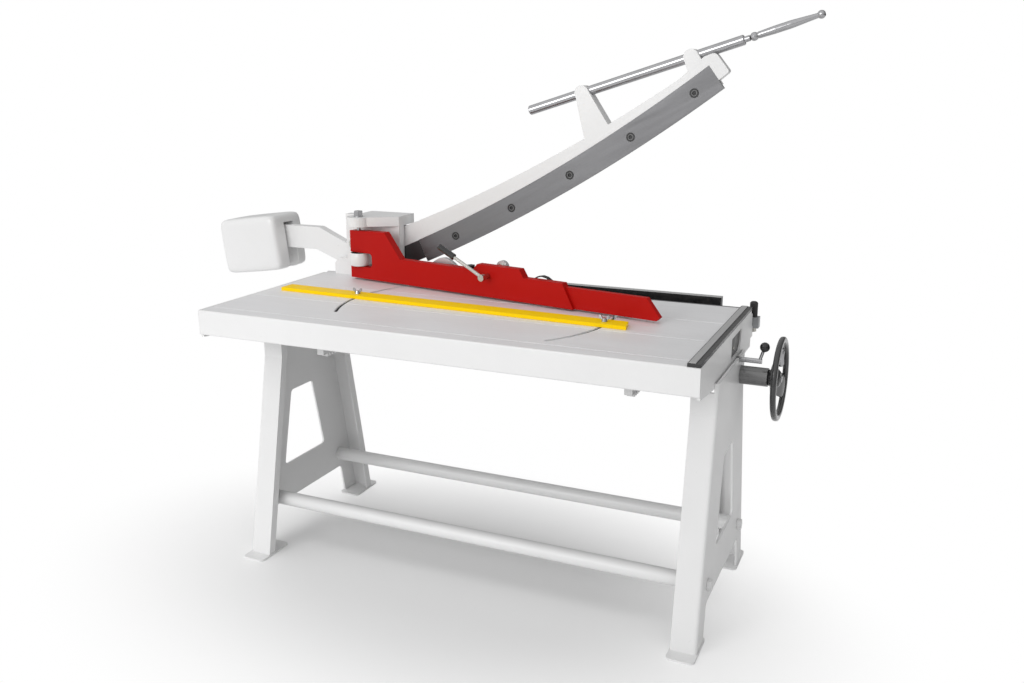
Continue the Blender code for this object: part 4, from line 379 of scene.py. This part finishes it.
class Finish(Nodes):
    """One node material, built up a layer at a time from textures in the piece's own metres."""

    def __init__(self, name, colour, roughness, metallic=0.0, seed=0.0):
        self.material = bpy.data.materials.new(name)
        self.material.use_nodes = True
        self.material.diffuse_color = (*colour, 1.0)
        super().__init__(self.material.node_tree)
        self.shader = self.tree.nodes["Principled BSDF"]
        self.shader.inputs["Metallic"].default_value = metallic
        self.shader.inputs["Roughness"].default_value = roughness
        self.place = self.add("ShaderNodeTexCoord").outputs["Object"]
        self.colour = (*colour, 1.0)
        self.normal = None
        self.seed = seed

    def noise(self, grain, turn=(0, 0, 0)):
        """Cloudy values with spots of the grain's size, drawn out along the turned axes."""
        mapping = self.add("ShaderNodeMapping")
        mapping.vector_type = "TEXTURE"
        mapping.inputs["Location"].default_value = (self.seed, self.seed, self.seed)
        mapping.inputs["Rotation"].default_value = turn
        mapping.inputs["Scale"].default_value = [grain.size * share for share in grain.stretch]
        self.link(self.place, mapping.inputs["Vector"])
        texture = self.add("ShaderNodeTexNoise")
        texture.inputs["Scale"].default_value = 1.0
        texture.inputs["Detail"].default_value = grain.detail
        self.link(mapping.outputs["Vector"], texture.inputs["Vector"])
        return texture.outputs["Fac"]

    def spots(self, grain, span, turn=(0, 0, 0)):
        return self.between(self.noise(grain, turn), span)

    def part_of(self, vector, letter):
        """One coordinate of a vector."""
        split = self.add("ShaderNodeSeparateXYZ")
        self.link(vector, split.inputs["Vector"])
        return split.outputs[letter]

    def facing(self, letter, span):
        """A mask of the faces whose flat normal lies in the span along an axis."""
        geometry = self.add("ShaderNodeNewGeometry")
        turned = self.add("ShaderNodeVectorTransform")
        turned.vector_type = "NORMAL"
        turned.convert_from = "WORLD"
        turned.convert_to = "OBJECT"
        self.link(geometry.outputs["True Normal"], turned.inputs["Vector"])
        return self.between(self.part_of(turned.outputs["Vector"], letter), span)

    def reach(self, centre, stretch):
        """Distance from a centre, with each axis stretched; a stretch of 0 leaves an axis out."""
        shift = self.vector_math("SUBTRACT", self.place, centre)
        stretched = self.vector_math("MULTIPLY", shift.outputs["Vector"], stretch)
        return self.vector_math("LENGTH", stretched.outputs["Vector"]).outputs["Value"]

    def tint(self, mask, colour):
        """Lay a colour over the surface where the mask is high."""
        mix = self.add("ShaderNodeMix")
        mix.data_type = "RGBA"
        self.feed(self.colour, mix.inputs[MIX_UNDER])
        mix.inputs[MIX_OVER].default_value = (*colour, 1.0)
        self.link(mask, mix.inputs["Factor"])
        self.colour = mix.outputs[MIX_RESULT]

    def rough(self, value, roughness, spread):
        less, more = spread
        span = Span(ROUGH_START, ROUGH_FULL, roughness + less, roughness + more)
        self.link(self.between(value, span), self.shader.inputs["Roughness"])

    def soft_edges(self, radius):
        """Round every edge in the shading, and return a mask of those edges."""
        bevel = self.add("ShaderNodeBevel")
        bevel.samples = BEVEL_SAMPLES
        bevel.inputs["Radius"].default_value = radius
        self.normal = bevel.outputs["Normal"]
        flat = self.add("ShaderNodeNewGeometry").outputs["True Normal"]
        return self.between(self.vector_math("DOT_PRODUCT", self.normal, flat).outputs["Value"], EDGE_SPAN)

    def bump(self, height, depth):
        node = self.add("ShaderNodeBump")
        node.inputs["Strength"].default_value = 1.0
        node.inputs["Distance"].default_value = depth
        self.link(height, node.inputs["Height"])
        self.link(self.normal, node.inputs["Normal"])
        self.normal = node.outputs["Normal"]

    def coat(self, weight):
        self.shader.inputs["Coat Weight"].default_value = weight
        self.shader.inputs["Coat Roughness"].default_value = COAT_ROUGHNESS

    def finished(self):
        self.feed(self.colour, self.shader.inputs["Base Color"])
        if self.normal is not None:
            self.link(self.normal, self.shader.inputs["Normal"])
        return self.material


def shaded(colour, share):
    return tuple(channel * share for channel in colour)


def paint(name, seed, colour, roughness, edge_chip_and_highlight_share=0.72, gloss=0.5):
    """Powder coat: orange peel, faint clouding, hairline handling marks and softer edges; spots along the
    edges are darker chips where the edge share is below 1 and a painted highlight where it is above 1.
    """
    finish = Finish(name, colour, roughness, seed=seed)
    edges = finish.soft_edges(PAINT_EDGE)
    finish.tint(finish.spots(PAINT_CLOUD, PAINT_CLOUD_SPAN), shaded(colour, PAINT_CLOUD_SHARE))
    finish.tint(finish.spots(PAINT_DUST, PAINT_DUST_SPAN), GRIME)
    marks = finish.spots(PAINT_MARK, PAINT_MARK_SPAN, PAINT_MARK_TURN)
    finish.tint(marks, shaded(colour, PAINT_MARK_SHARE))
    # Edge spots: chips where the share is below 1, a painted highlight where it is above 1
    chips_and_highlight = finish.spots(PAINT_CHIP_AND_HIGHLIGHT, PAINT_CHIP_AND_HIGHLIGHT_SPAN)
    finish.tint(finish.product(edges, chips_and_highlight), shaded(colour, edge_chip_and_highlight_share))
    finish.rough(finish.noise(PAINT_SHEEN), roughness, PAINT_SPREAD)
    finish.bump(finish.noise(PAINT_PEEL), PAINT_PEEL_DEPTH)
    finish.shader.inputs["Specular IOR Level"].default_value = gloss
    finish.coat(gloss * PAINT_COAT_SHARE)
    return finish


def ground(name, seed, colour, roughness, turn=(0, 0, 0), along_share=60.0, metallic=0.9):
    """Ground steel: fine lines along the turned X axis, with soft stains and bright edges."""
    finish = Finish(name, colour, roughness, metallic, seed)
    edges = finish.soft_edges(STEEL_EDGE)
    lines = finish.noise(STEEL_LINE._replace(stretch=(along_share, 1, 1)), turn)
    finish.tint(finish.between(lines, STEEL_LINE_SPAN), shaded(colour, STEEL_LINE_SHARE))
    finish.tint(finish.spots(STEEL_STAIN, STEEL_STAIN_SPAN, turn), shaded(colour, STEEL_STAIN_SHARE))
    finish.tint(finish.spots(STEEL_SPECK, STEEL_SPECK_SPAN), GRIME)
    finish.tint(finish.product(edges, finish.spots(FINE_CLOUD, STEEL_RUB_SPAN)), BARE_METAL)
    finish.rough(finish.noise(STEEL_SHEEN, turn), roughness, STEEL_SPREAD)
    finish.bump(lines, STEEL_LINE_DEPTH)
    return finish


def plated(name, seed, colour, roughness):
    """Chrome or zinc plate with a faint haze and a slight ripple."""
    finish = Finish(name, colour, roughness, 1.0, seed)
    edges = finish.soft_edges(PLATE_EDGE)
    haze = finish.noise(PLATE_HAZE)
    finish.tint(finish.between(haze, PLATE_HAZE_SPAN), shaded(colour, PLATE_HAZE_SHARE))
    rubbed = finish.product(edges, finish.between(haze, PLATE_RUB_SPAN))
    finish.tint(rubbed, shaded(colour, PLATE_RUB_SHARE))
    finish.rough(finish.noise(FINE_CLOUD), roughness, PLATE_SPREAD)
    finish.bump(finish.noise(PLATE_RIPPLE), PLATE_RIPPLE_DEPTH)
    return finish


def moulded(name, seed, colour, roughness, grain=PLASTIC_GRAIN, depth=PLASTIC_GRAIN_DEPTH, coat=0.3):
    """Moulded plastic or rubber with a fine grain, paler where it is worn and along its edges."""
    finish = Finish(name, colour, roughness, seed=seed)
    edges = finish.soft_edges(MOULD_EDGE)
    wear = finish.noise(MOULD_WEAR)
    finish.tint(finish.between(wear, MOULD_WEAR_SPAN), shaded(colour, MOULD_WEAR_SHARE))
    finish.tint(finish.product(edges, finish.between(wear, MOULD_RUB_SPAN)), RUBBED_PLASTIC)
    finish.rough(wear, roughness, MOULD_SPREAD)
    finish.bump(finish.noise(grain), depth)
    finish.coat(coat)
    finish.shader.inputs["Coat IOR"].default_value = MOULD_COAT_IOR
    return finish


def blackened(name, seed, colour, roughness, metallic=0.6):
    """Black oxide on steel, with brown-grey clouds and bright rubbed edges."""
    finish = Finish(name, colour, roughness, metallic, seed)
    edges = finish.soft_edges(BLACK_EDGE)
    clouds = finish.noise(BLACK_CLOUD)
    finish.tint(finish.between(clouds, BLACK_CLOUD_SPAN), OXIDE_BROWN)
    finish.tint(finish.product(edges, finish.between(clouds, BLACK_RUB_SPAN)), RUBBED_STEEL_AND_HIGHLIGHT)
    finish.rough(clouds, roughness, BLACK_SPREAD)
    finish.bump(finish.noise(BLACK_GRAIN), BLACK_GRAIN_DEPTH)
    return finish


def middle_of(name):
    low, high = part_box(name)
    return (low + high) / 2


def painted_cut_light_and_shade(finish):
    """Painted light and painted shade in the table's grooves and slots: white near the ground face, dark
    grey deep down.
    """
    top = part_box("table_top")[1].z
    height = finish.part_of(finish.place, "Z")
    shallow = Span(top - CUT_START, top - CUT_FULL, most=CUT_COVER)
    finish.tint(finish.between(height, shallow), CUT_PAINTED_LIGHT)
    deep = Span(top - CUT_DEEP, top - CUT_DEEP - CUT_START)
    finish.tint(finish.between(height, deep), CUT_PAINTED_SHADE)


def painted_heel_shade(finish):
    """Painted shade on the beam's heel, left of the blade and below the line of its upper edge."""
    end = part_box("upper_blade")[0].x + HEEL_REACH
    centre = (BLADE_ARC_CENTRE[0], 0, BLADE_ARC_CENTRE[1])
    arc = Span(BLADE_ARC_RADIUS, BLADE_ARC_RADIUS + HEEL_FADE)
    below = finish.between(finish.reach(centre, (1, 0, 1)), arc)
    left = finish.between(finish.part_of(finish.place, "X"), Span(end + HEEL_FADE, end))
    front = finish.facing("Y", FRONT_FACE_SPAN)
    # Painted shade: darken the heel's front face
    finish.tint(finish.product(finish.product(below, left), front), HEEL_PAINTED_SHADE)


def bright_top(finish):
    """The back gauge bar is ground on its upper face."""
    finish.tint(finish.facing("Z", TOP_FACE_SPAN), MACHINED_STEEL)


def painted_socket_highlight(finish, name):
    """A painted highlight: a lighter ring round the hex socket of a screw."""
    far = finish.reach(middle_of(name), (1, 0, 1))
    ring = finish.between(far, Span(SOCKET_RADIUS, SOCKET_RADIUS + SOCKET_FADE))
    outside = finish.between(far, Span(SOCKET_RIM + SOCKET_FADE, SOCKET_RIM, most=SOCKET_COVER))
    finish.tint(finish.product(ring, outside), RUBBED_STEEL_AND_HIGHLIGHT)


SLOT_FINISHES = {
    "light_grey_paint": partial(paint, colour=LIGHT_GREY, roughness=0.34),
    # Red edges are lighter than the paint: a painted highlight
    "red_paint": partial(paint, colour=RED, roughness=0.46, edge_chip_and_highlight_share=1.7, gloss=0.12),
    "yellow_paint": partial(paint, colour=YELLOW, roughness=0.46, gloss=0.10),
    "ground_table_steel": partial(ground, colour=TABLE_STEEL, roughness=0.52, along_share=90.0,
                                  metallic=0.30),
    "blade_steel": partial(ground, colour=BLADE_STEEL, roughness=0.42, along_share=70.0),
    "machined_steel": partial(ground, colour=MACHINED_STEEL, roughness=0.34, along_share=40.0,
                              metallic=0.6),
    "zinc_plated_steel": partial(plated, colour=ZINC, roughness=0.24),
    "chrome": partial(plated, colour=CHROME, roughness=0.13),
    "black_rubber": partial(moulded, colour=RUBBER, roughness=0.50, grain=RUBBER_GRAIN,
                            depth=RUBBER_GRAIN_DEPTH, coat=0.1),
    "black_plastic": partial(moulded, colour=BLACK_PLASTIC, roughness=0.26),
    "black_steel": partial(blackened, colour=BLACK_STEEL, roughness=0.32),
}

# Pieces whose shade differs from the rest of their slot
OWN_FINISHES = {
    "shaft_bearing": partial(ground, colour=BEARING_STEEL, roughness=0.24),
    "buffer_lug": partial(paint, colour=LUG_GREY, roughness=0.30),
    "wheel_dished": partial(moulded, colour=BLACK_PLASTIC, roughness=0.22, coat=1.0),
}

# Turns of the grinding lines, for pieces whose length isn't along X
GRAIN_TURNS = {
    "upper_blade": (0, KNIFE_TILT, 0),
    "left_rack": (0, 0, math.pi / 2),
    "right_rack": (0, 0, math.pi / 2),
    "rail_strip": (0, 0, math.pi / 2),
    "presser_bar": (0, 0, HOLD_DOWN_TILT),
}

# Painted light and shade in the table's cuts, painted shade on the knife beam's heel, and the back gauge
# bar's ground top
LOCAL_SHADES = {
    "table_top": painted_cut_light_and_shade,
    "knife_beam": painted_heel_shade,
    "back_gauge_bar": bright_top,
}


def slot_finish(slot, name, seed):
    """The finish of one piece, from its material slot or from its own entry."""
    recipe = OWN_FINISHES.get(name, SLOT_FINISHES[slot])
    turned = {"turn": GRAIN_TURNS[name]} if name in GRAIN_TURNS else {}
    return recipe(f"{name}_{slot}", seed, **turned)


def dress_nodes():
    """Give every CAD node the finish of the slot that the record names."""
    slots = {row["node"]: row["material_slot"] for row in frame["record"]["subparts"]}
    for number, name in enumerate(sorted(nodes)):
        finish = slot_finish(slots[name], name, number * SEED_STEP)
        if name in LOCAL_SHADES:
            LOCAL_SHADES[name](finish)
        # Blade screws get a painted highlight round their sockets
        if name.startswith("blade_screw"):
            painted_socket_highlight(finish, name)
        data = nodes[name].data
        data.materials.clear()
        data.materials.append(finish.finished())


# Extra pieces

def add_piece(name, shape, body, slot, smooth=True, material=None):
    """A new piece that rides a body and has the finish of a slot, or a finish of its own."""
    mesh = bpy.data.meshes.new(name)
    bmesh.ops.recalc_face_normals(shape, faces=shape.faces)
    shape.to_mesh(mesh)
    shape.free()
    for face in mesh.polygons:
        face.use_smooth = smooth
    thing = bpy.data.objects.new(name, mesh)
    bpy.context.collection.objects.link(thing)
    if material is None:
        material = slot_finish(slot, name, float(len(name))).finished()
    mesh.materials.append(material)
    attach(thing, body)
    return thing


def axis_matrix(place, direction):
    """A frame at a place whose Z axis points along a direction."""
    return Matrix.Translation(place) @ Vector(direction).to_track_quat("Z", "Y").to_matrix().to_4x4()


def round_point(radius, angle, height):
    return Vector((radius * math.cos(angle), radius * math.sin(angle), height))


def blend(start, end, share):
    return start + (end - start) * share


def rounded_loop(width, height, power):
    """A soft rectangle round zero, as a closed loop; a power of 1 makes it an ellipse."""
    loop = []
    for step in range(LOOP_POINTS):
        angle = 2 * math.pi * step / LOOP_POINTS
        across = math.cos(angle)
        along = math.sin(angle)
        loop.append((width / 2 * math.copysign(abs(across) ** power, across),
                     height / 2 * math.copysign(abs(along) ** power, along)))
    return loop


def disc(radius, height):
    """Profile of a round plate or pin."""
    return [(0, 0), (radius, 0), (radius, height), (0, height)]


def button(radius, height, side_share, base=0):
    """Profile of a round button whose side slopes in above a straight part."""
    top = base + height
    return [(0, base), (radius, base), (radius, base + height * side_share),
            (radius * BUTTON_TOP_SHARE, top), (0, top)]


def revolve(shape, profile, matrix, steps, closed=False):
    """Turn a profile of (radius, height) about the matrix's Z axis."""
    rings = []
    for step in range(steps):
        angle = 2 * math.pi * step / steps
        rings.append([shape.verts.new(matrix @ round_point(radius, angle, height))
                      for radius, height in profile])
    count = len(profile)
    for step in range(steps):
        one = rings[step]
        two = rings[(step + 1) % steps]
        for index in range(count if closed else count - 1):
            after = (index + 1) % count
            shape.faces.new((one[index], two[index], two[after], one[after]))
    bmesh.ops.remove_doubles(shape, verts=shape.verts, dist=MERGE_DISTANCE)


def skin(shape, rings, capped=False):
    """Join closed rings of points one after the other, and close the two ends if asked."""
    count = len(rings[0])
    for one, two in zip(rings, rings[1:]):
        for index in range(count):
            after = (index + 1) % count
            shape.faces.new((one[index], one[after], two[after], two[index]))
    if capped:
        shape.faces.new(rings[0])
        shape.faces.new(rings[-1])


def build_handwheel():
    """Dished wheel: the spokes lean from the hub out to a slim rim at the wheel's outer face."""
    low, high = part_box("handwheel")
    axle = middle_of("shaft_bearing")
    matrix = axis_matrix((low.x, axle.y, axle.z), OUT_OF_THE_END)
    length = high.x - low.x
    rim_middle = length - WHEEL_RIM_THICKNESS / 2
    rim_radius = high.z - axle.z - WHEEL_RIM_DEPTH / 2
    face = length - WHEEL_FACE_INSET
    shape = bmesh.new()
    add_rim(shape, matrix, rim_middle, rim_radius)
    add_hub(shape, matrix, length, face)
    foot = length * SPOKE_FOOT_SHARE
    tip_reach = rim_radius * SPOKE_REACH_SHARE
    for number in range(SPOKES):
        turn = Matrix.Rotation(2 * math.pi * number / SPOKES + SPOKE_START, 4, "Z")
        add_spoke(shape, matrix @ turn, foot, rim_middle, tip_reach)
    wheel = add_piece("wheel_dished", shape, "wheel", "black_plastic")
    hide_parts("handwheel")

    cap = bmesh.new()
    revolve(cap, button(WHEEL_CAP_RADIUS, WHEEL_CAP_HEIGHT, WHEEL_CAP_SIDE_SHARE, face), matrix, HUB_STEPS)
    add_piece("wheel_cap", cap, "wheel", "chrome")
    build_grip(matrix, rim_middle, rim_radius - WHEEL_RIM_DEPTH / 2)


def add_rim(shape, matrix, middle, radius):
    profile = [(radius + across, middle + along)
               for across, along in rounded_loop(WHEEL_RIM_DEPTH, WHEEL_RIM_THICKNESS, WHEEL_RIM_POWER)]
    revolve(shape, profile, matrix, RIM_STEPS, closed=True)


def add_hub(shape, matrix, length, face):
    boss_start, boss_end = (length * share for share in WHEEL_BOSS_SHARES)
    profile = [
        (0, 0),
        (WHEEL_HUB_RADIUS - WHEEL_HUB_CHAMFER, 0),
        (WHEEL_HUB_RADIUS, WHEEL_HUB_CHAMFER),
        (WHEEL_HUB_RADIUS, length * WHEEL_FLARE_SHARE),
        (WHEEL_BOSS_RADIUS, boss_start),
        (WHEEL_BOSS_RADIUS, boss_end),
        (WHEEL_NOSE_RADIUS, face * WHEEL_NOSE_SHARE),
        (WHEEL_FACE_RADIUS, face),
        (0, face),
    ]
    revolve(shape, profile, matrix, HUB_STEPS)


def add_spoke(shape, matrix, foot, rim_middle, tip_reach):
    """A flat spoke that tapers and leans from the hub to the rim, in smooth steps."""
    rings = []
    for step in range(SPOKE_STEPS + 1):
        share = step / SPOKE_STEPS
        reach = blend(SPOKE_ROOT_REACH, tip_reach, share)
        along = blend(foot, rim_middle, (1 - math.cos(math.pi * share)) / 2)
        loop = rounded_loop(blend(SPOKE_ROOT_WIDTH, SPOKE_TIP_WIDTH, share), SPOKE_THICKNESS, SPOKE_POWER)
        rings.append([shape.verts.new(matrix @ Vector((reach, across, along + height)))
                      for across, height in loop])
    skin(shape, rings)


def build_grip(matrix, rim_middle, rim_inside):
    """The wheel's grip, folded inwards against the rim on its hinge pin."""
    toward_rim = matrix @ Matrix.Rotation(math.pi / 2, 4, "Z")
    place = toward_rim @ Vector((rim_inside - GRIP_PIN_LENGTH, 0, rim_middle))
    outward = toward_rim.to_3x3() @ Vector((1, 0, 0))
    pin = bmesh.new()
    rod = disc(GRIP_PIN_RADIUS, GRIP_PIN_LENGTH + GRIP_PIN_INSET)
    revolve(pin, rod, axis_matrix(place, outward), HUB_STEPS)
    add_piece("wheel_grip_pin", pin, "wheel", "chrome")
    grip = bmesh.new()
    sleeve = [(GRIP_RADIUS * across, GRIP_LENGTH * along) for across, along in GRIP_SHARES]
    revolve(grip, sleeve, axis_matrix(place, -outward), HUB_STEPS)
    add_piece("wheel_grip", grip, "wheel", "chrome")


def build_hinge_bolt():
    """Hex head and washer over the hold-down's hinge bolt, on top of the slab."""
    matrix = axis_matrix((*HINGE_PLACE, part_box("pivot_housing")[1].z), UPWARD)
    washer = bmesh.new()
    revolve(washer, disc(WASHER_RADIUS, WASHER_HEIGHT), matrix, ROUND_STEPS)
    add_piece("hinge_washer", washer, "root", "chrome", smooth=False)
    head = bmesh.new()
    radius = BOLT_ACROSS / math.sqrt(3)
    top = WASHER_HEIGHT + BOLT_HEIGHT
    angles = [2 * math.pi * corner / HEX_SIDES for corner in range(HEX_SIDES)]
    rings = []
    for height, share in ((WASHER_HEIGHT, 1.0), (top - BOLT_CHAMFER, 1.0), (top, BOLT_TOP_SHARE)):
        corners = [round_point(radius * share, angle, height) for angle in angles]
        rings.append([head.verts.new(matrix @ corner) for corner in corners])
    skin(head, rings, capped=True)
    add_piece("hinge_bolt_head", head, "root", "chrome", smooth=False)


def build_knuckle():
    """Barrel-shaped sleeve round the hinge knuckle."""
    matrix = axis_matrix((*HINGE_PLACE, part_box("table_top")[1].z), UPWARD)
    steps = ROUND_STEPS // 2
    profile = [(0, KNUCKLE_LOW)]
    for step in range(steps + 1):
        share = step / steps
        radius = KNUCKLE_END_RADIUS + KNUCKLE_CROWN * math.sin(math.pi * share)
        profile.append((radius, blend(KNUCKLE_LOW, KNUCKLE_HIGH, share)))
    profile.append((0, KNUCKLE_HIGH))
    shape = bmesh.new()
    revolve(shape, profile, matrix, HUB_STEPS)
    add_piece("knuckle_barrel", shape, "root", "light_grey_paint")


def build_window_panel():
    """Plate set back in the end window, with one bright screw; its dark grey is painted shade for the
    shaded inside of the window.
    """
    front = WINDOW_FRONT + WINDOW_MARGIN
    back = WINDOW_BACK - WINDOW_MARGIN
    low = WINDOW_BOTTOM + WINDOW_MARGIN
    high = WINDOW_TOP - WINDOW_MARGIN
    outline = [(front, low), (back - WINDOW_CHAMFER, low), (back, low + WINDOW_CHAMFER), (back, high),
               (front, high)]
    face = TABLE_END_X - PANEL_FACE
    shape = bmesh.new()
    rings = [[shape.verts.new((x, y, z)) for y, z in outline] for x in (TABLE_END_X - PANEL_BACK, face)]
    skin(shape, rings, capped=True)
    # The plate's dark grey is painted shade
    panel = ground("window_panel_black_steel", PANEL_SEED, PANEL_PAINTED_SHADE, PANEL_ROUGHNESS).finished()
    add_piece("window_panel", shape, "root", "black_steel", smooth=False, material=panel)
    screw = bmesh.new()
    place = (face, WINDOW_FRONT + SCREW_FROM_FRONT, WINDOW_TOP - SCREW_FROM_TOP)
    profile = button(SCREW_RADIUS, SCREW_HEIGHT, SCREW_SIDE_SHARE)
    revolve(screw, profile, axis_matrix(place, OUT_OF_THE_END), ROUND_STEPS)
    add_piece("window_screw", screw, "root", "zinc_plated_steel")


def crowned(corner, half):
    """One point of a cube, moved to a block with soft edges and slightly domed faces."""
    length = sum(abs(side) ** WEIGHT_SQUARENESS for side in corner) ** (1 / WEIGHT_SQUARENESS)
    soft = corner / length
    place = []
    for axis in range(3):
        one, two = [soft[index] for index in range(3) if index != axis]
        dip = WEIGHT_CROWN_SHARE * (one ** 2 + two ** 2) / 2
        place.append(soft[axis] * (1 - dip) * half[axis])
    return place


def build_counterweight():
    """Cast block with crowned faces and soft corners, slotted for the arm."""
    half = Vector(WEIGHT_SIZE) / 2
    shape = bmesh.new()
    bmesh.ops.create_cube(shape, size=2.0)
    bmesh.ops.subdivide_edges(shape, edges=shape.edges, cuts=WEIGHT_CUTS, use_grid_fill=True)
    for vertex in shape.verts:
        vertex.co = crowned(vertex.co, half)
    turn = Matrix.Translation(middle_of("counterweight")) @ Matrix.Rotation(WEIGHT_TILT, 4, "Y")
    bmesh.ops.transform(shape, matrix=turn, verts=shape.verts)
    weight = add_piece("counterweight_crowned", shape, "knife", "light_grey_paint")
    size = Vector((WEIGHT_SLOT_DEPTH * 2, WEIGHT_SLOT_WIDTH, WEIGHT_SIZE[2]))
    centre = Vector((half.x, 0, WEIGHT_SLOT_TOP - size.z / 2))
    cutter = bmesh.new()
    bmesh.ops.create_cube(cutter, size=1.0)
    place = turn @ Matrix.Translation(centre) @ Matrix.Diagonal((*size, 1.0))
    bmesh.ops.transform(cutter, matrix=place, verts=cutter.verts)
    carve(weight, cutter)
    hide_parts("counterweight")


def carve(thing, shape):
    """Cut a shape out of a piece and keep the result as its mesh."""
    mesh = bpy.data.meshes.new("cutter")
    shape.to_mesh(mesh)
    shape.free()
    cutter = bpy.data.objects.new("cutter", mesh)
    bpy.context.collection.objects.link(cutter)
    cut = thing.modifiers.new("slot", "BOOLEAN")
    cut.operation = "DIFFERENCE"
    cut.solver = "EXACT"
    cut.object = cutter
    bpy.context.view_layer.update()
    graph = bpy.context.evaluated_depsgraph_get()
    result = bpy.data.meshes.new_from_object(thing.evaluated_get(graph))
    thing.modifiers.clear()
    thing.data = result
    bpy.data.objects.remove(cutter, do_unlink=True)


# Floor, light and camera

def build_floor():
    """A pale floor that keeps the soft shadow near the machine and clears to white further out."""
    shape = bmesh.new()
    bmesh.ops.create_circle(shape, cap_ends=True, segments=FLOOR_STEPS, radius=FLOOR_RADIUS)
    mesh = bpy.data.meshes.new("floor")
    shape.to_mesh(mesh)
    shape.free()
    floor = bpy.data.objects.new("floor", mesh)
    bpy.context.collection.objects.link(floor)
    pale = Finish("floor_pale", FLOOR_COLOUR, FLOOR_ROUGHNESS)
    white = pale.add("ShaderNodeEmission")
    fade = pale.between(pale.reach(FLOOR_MIDDLE, FLOOR_STRETCH), FLOOR_CLEAR_SPAN, "SMOOTHSTEP")
    seen = pale.product(fade, pale.camera_rays())
    surface = pale.mixed(seen, pale.shader.outputs["BSDF"], white.outputs["Emission"])
    pale.link(surface, pale.tree.nodes["Material Output"].inputs["Surface"])
    floor.data.materials.append(pale.finished())


def build_world():
    """White to the camera; for the light, a soft sky that is brightest from the front left."""
    world = bpy.data.worlds.new("studio")
    bpy.context.scene.world = world
    world.use_nodes = True
    studio = Nodes(world.node_tree)
    sky = studio.tree.nodes["Background"]
    sky.inputs["Color"].default_value = FULL_WHITE
    way = studio.add("ShaderNodeTexCoord").outputs["Generated"]
    toward = studio.vector_math("DOT_PRODUCT", way, Vector(SKY_FROM).normalized())
    studio.link(studio.between(toward.outputs["Value"], SKY_SPAN), sky.inputs["Strength"])
    white = studio.add("ShaderNodeBackground")
    white.inputs["Color"].default_value = FULL_WHITE
    surface = studio.mixed(studio.camera_rays(), sky.outputs["Background"], white.outputs["Background"])
    studio.link(surface, studio.tree.nodes["World Output"].inputs["Surface"])


def add_lamp(name, place, size, power):
    data = bpy.data.lights.new(name, "AREA")
    data.shape = "SQUARE"
    data.size = size
    data.energy = power
    lamp = bpy.data.objects.new(name, data)
    bpy.context.collection.objects.link(lamp)
    lamp.location = place
    lamp.rotation_euler = (Vector(LAMP_TARGET) - Vector(place)).to_track_quat("-Z", "Y").to_euler()


def build_camera():
    forward = Vector(CAMERA_FORWARD).normalized()
    level = forward.cross(Vector(UPWARD)).normalized()
    upright = level.cross(forward)
    right = level * math.cos(CAMERA_ROLL) + upright * math.sin(CAMERA_ROLL)
    up = upright * math.cos(CAMERA_ROLL) - level * math.sin(CAMERA_ROLL)
    data = bpy.data.cameras.new("photo_view")
    data.lens = CAMERA_LENS
    data.sensor_width = CAMERA_SENSOR
    data.shift_x = CAMERA_SHIFT_X
    data.shift_y = CAMERA_SHIFT_Y
    camera = bpy.data.objects.new("photo_view", data)
    bpy.context.collection.objects.link(camera)
    turn = Matrix((right, up, -forward)).transposed().to_4x4()
    camera.matrix_world = Matrix.Translation(CAMERA_PLACE) @ turn
    bpy.context.scene.camera = camera


dress_nodes()
build_handwheel()
build_hinge_bolt()
build_knuckle()
build_window_panel()
build_counterweight()
build_floor()
build_world()
add_lamp("key", KEY_PLACE, KEY_SIZE, KEY_POWER)
add_lamp("fill", FILL_PLACE, FILL_SIZE, FILL_POWER)
build_camera()
bpy.context.scene.view_settings.view_transform = "Standard"
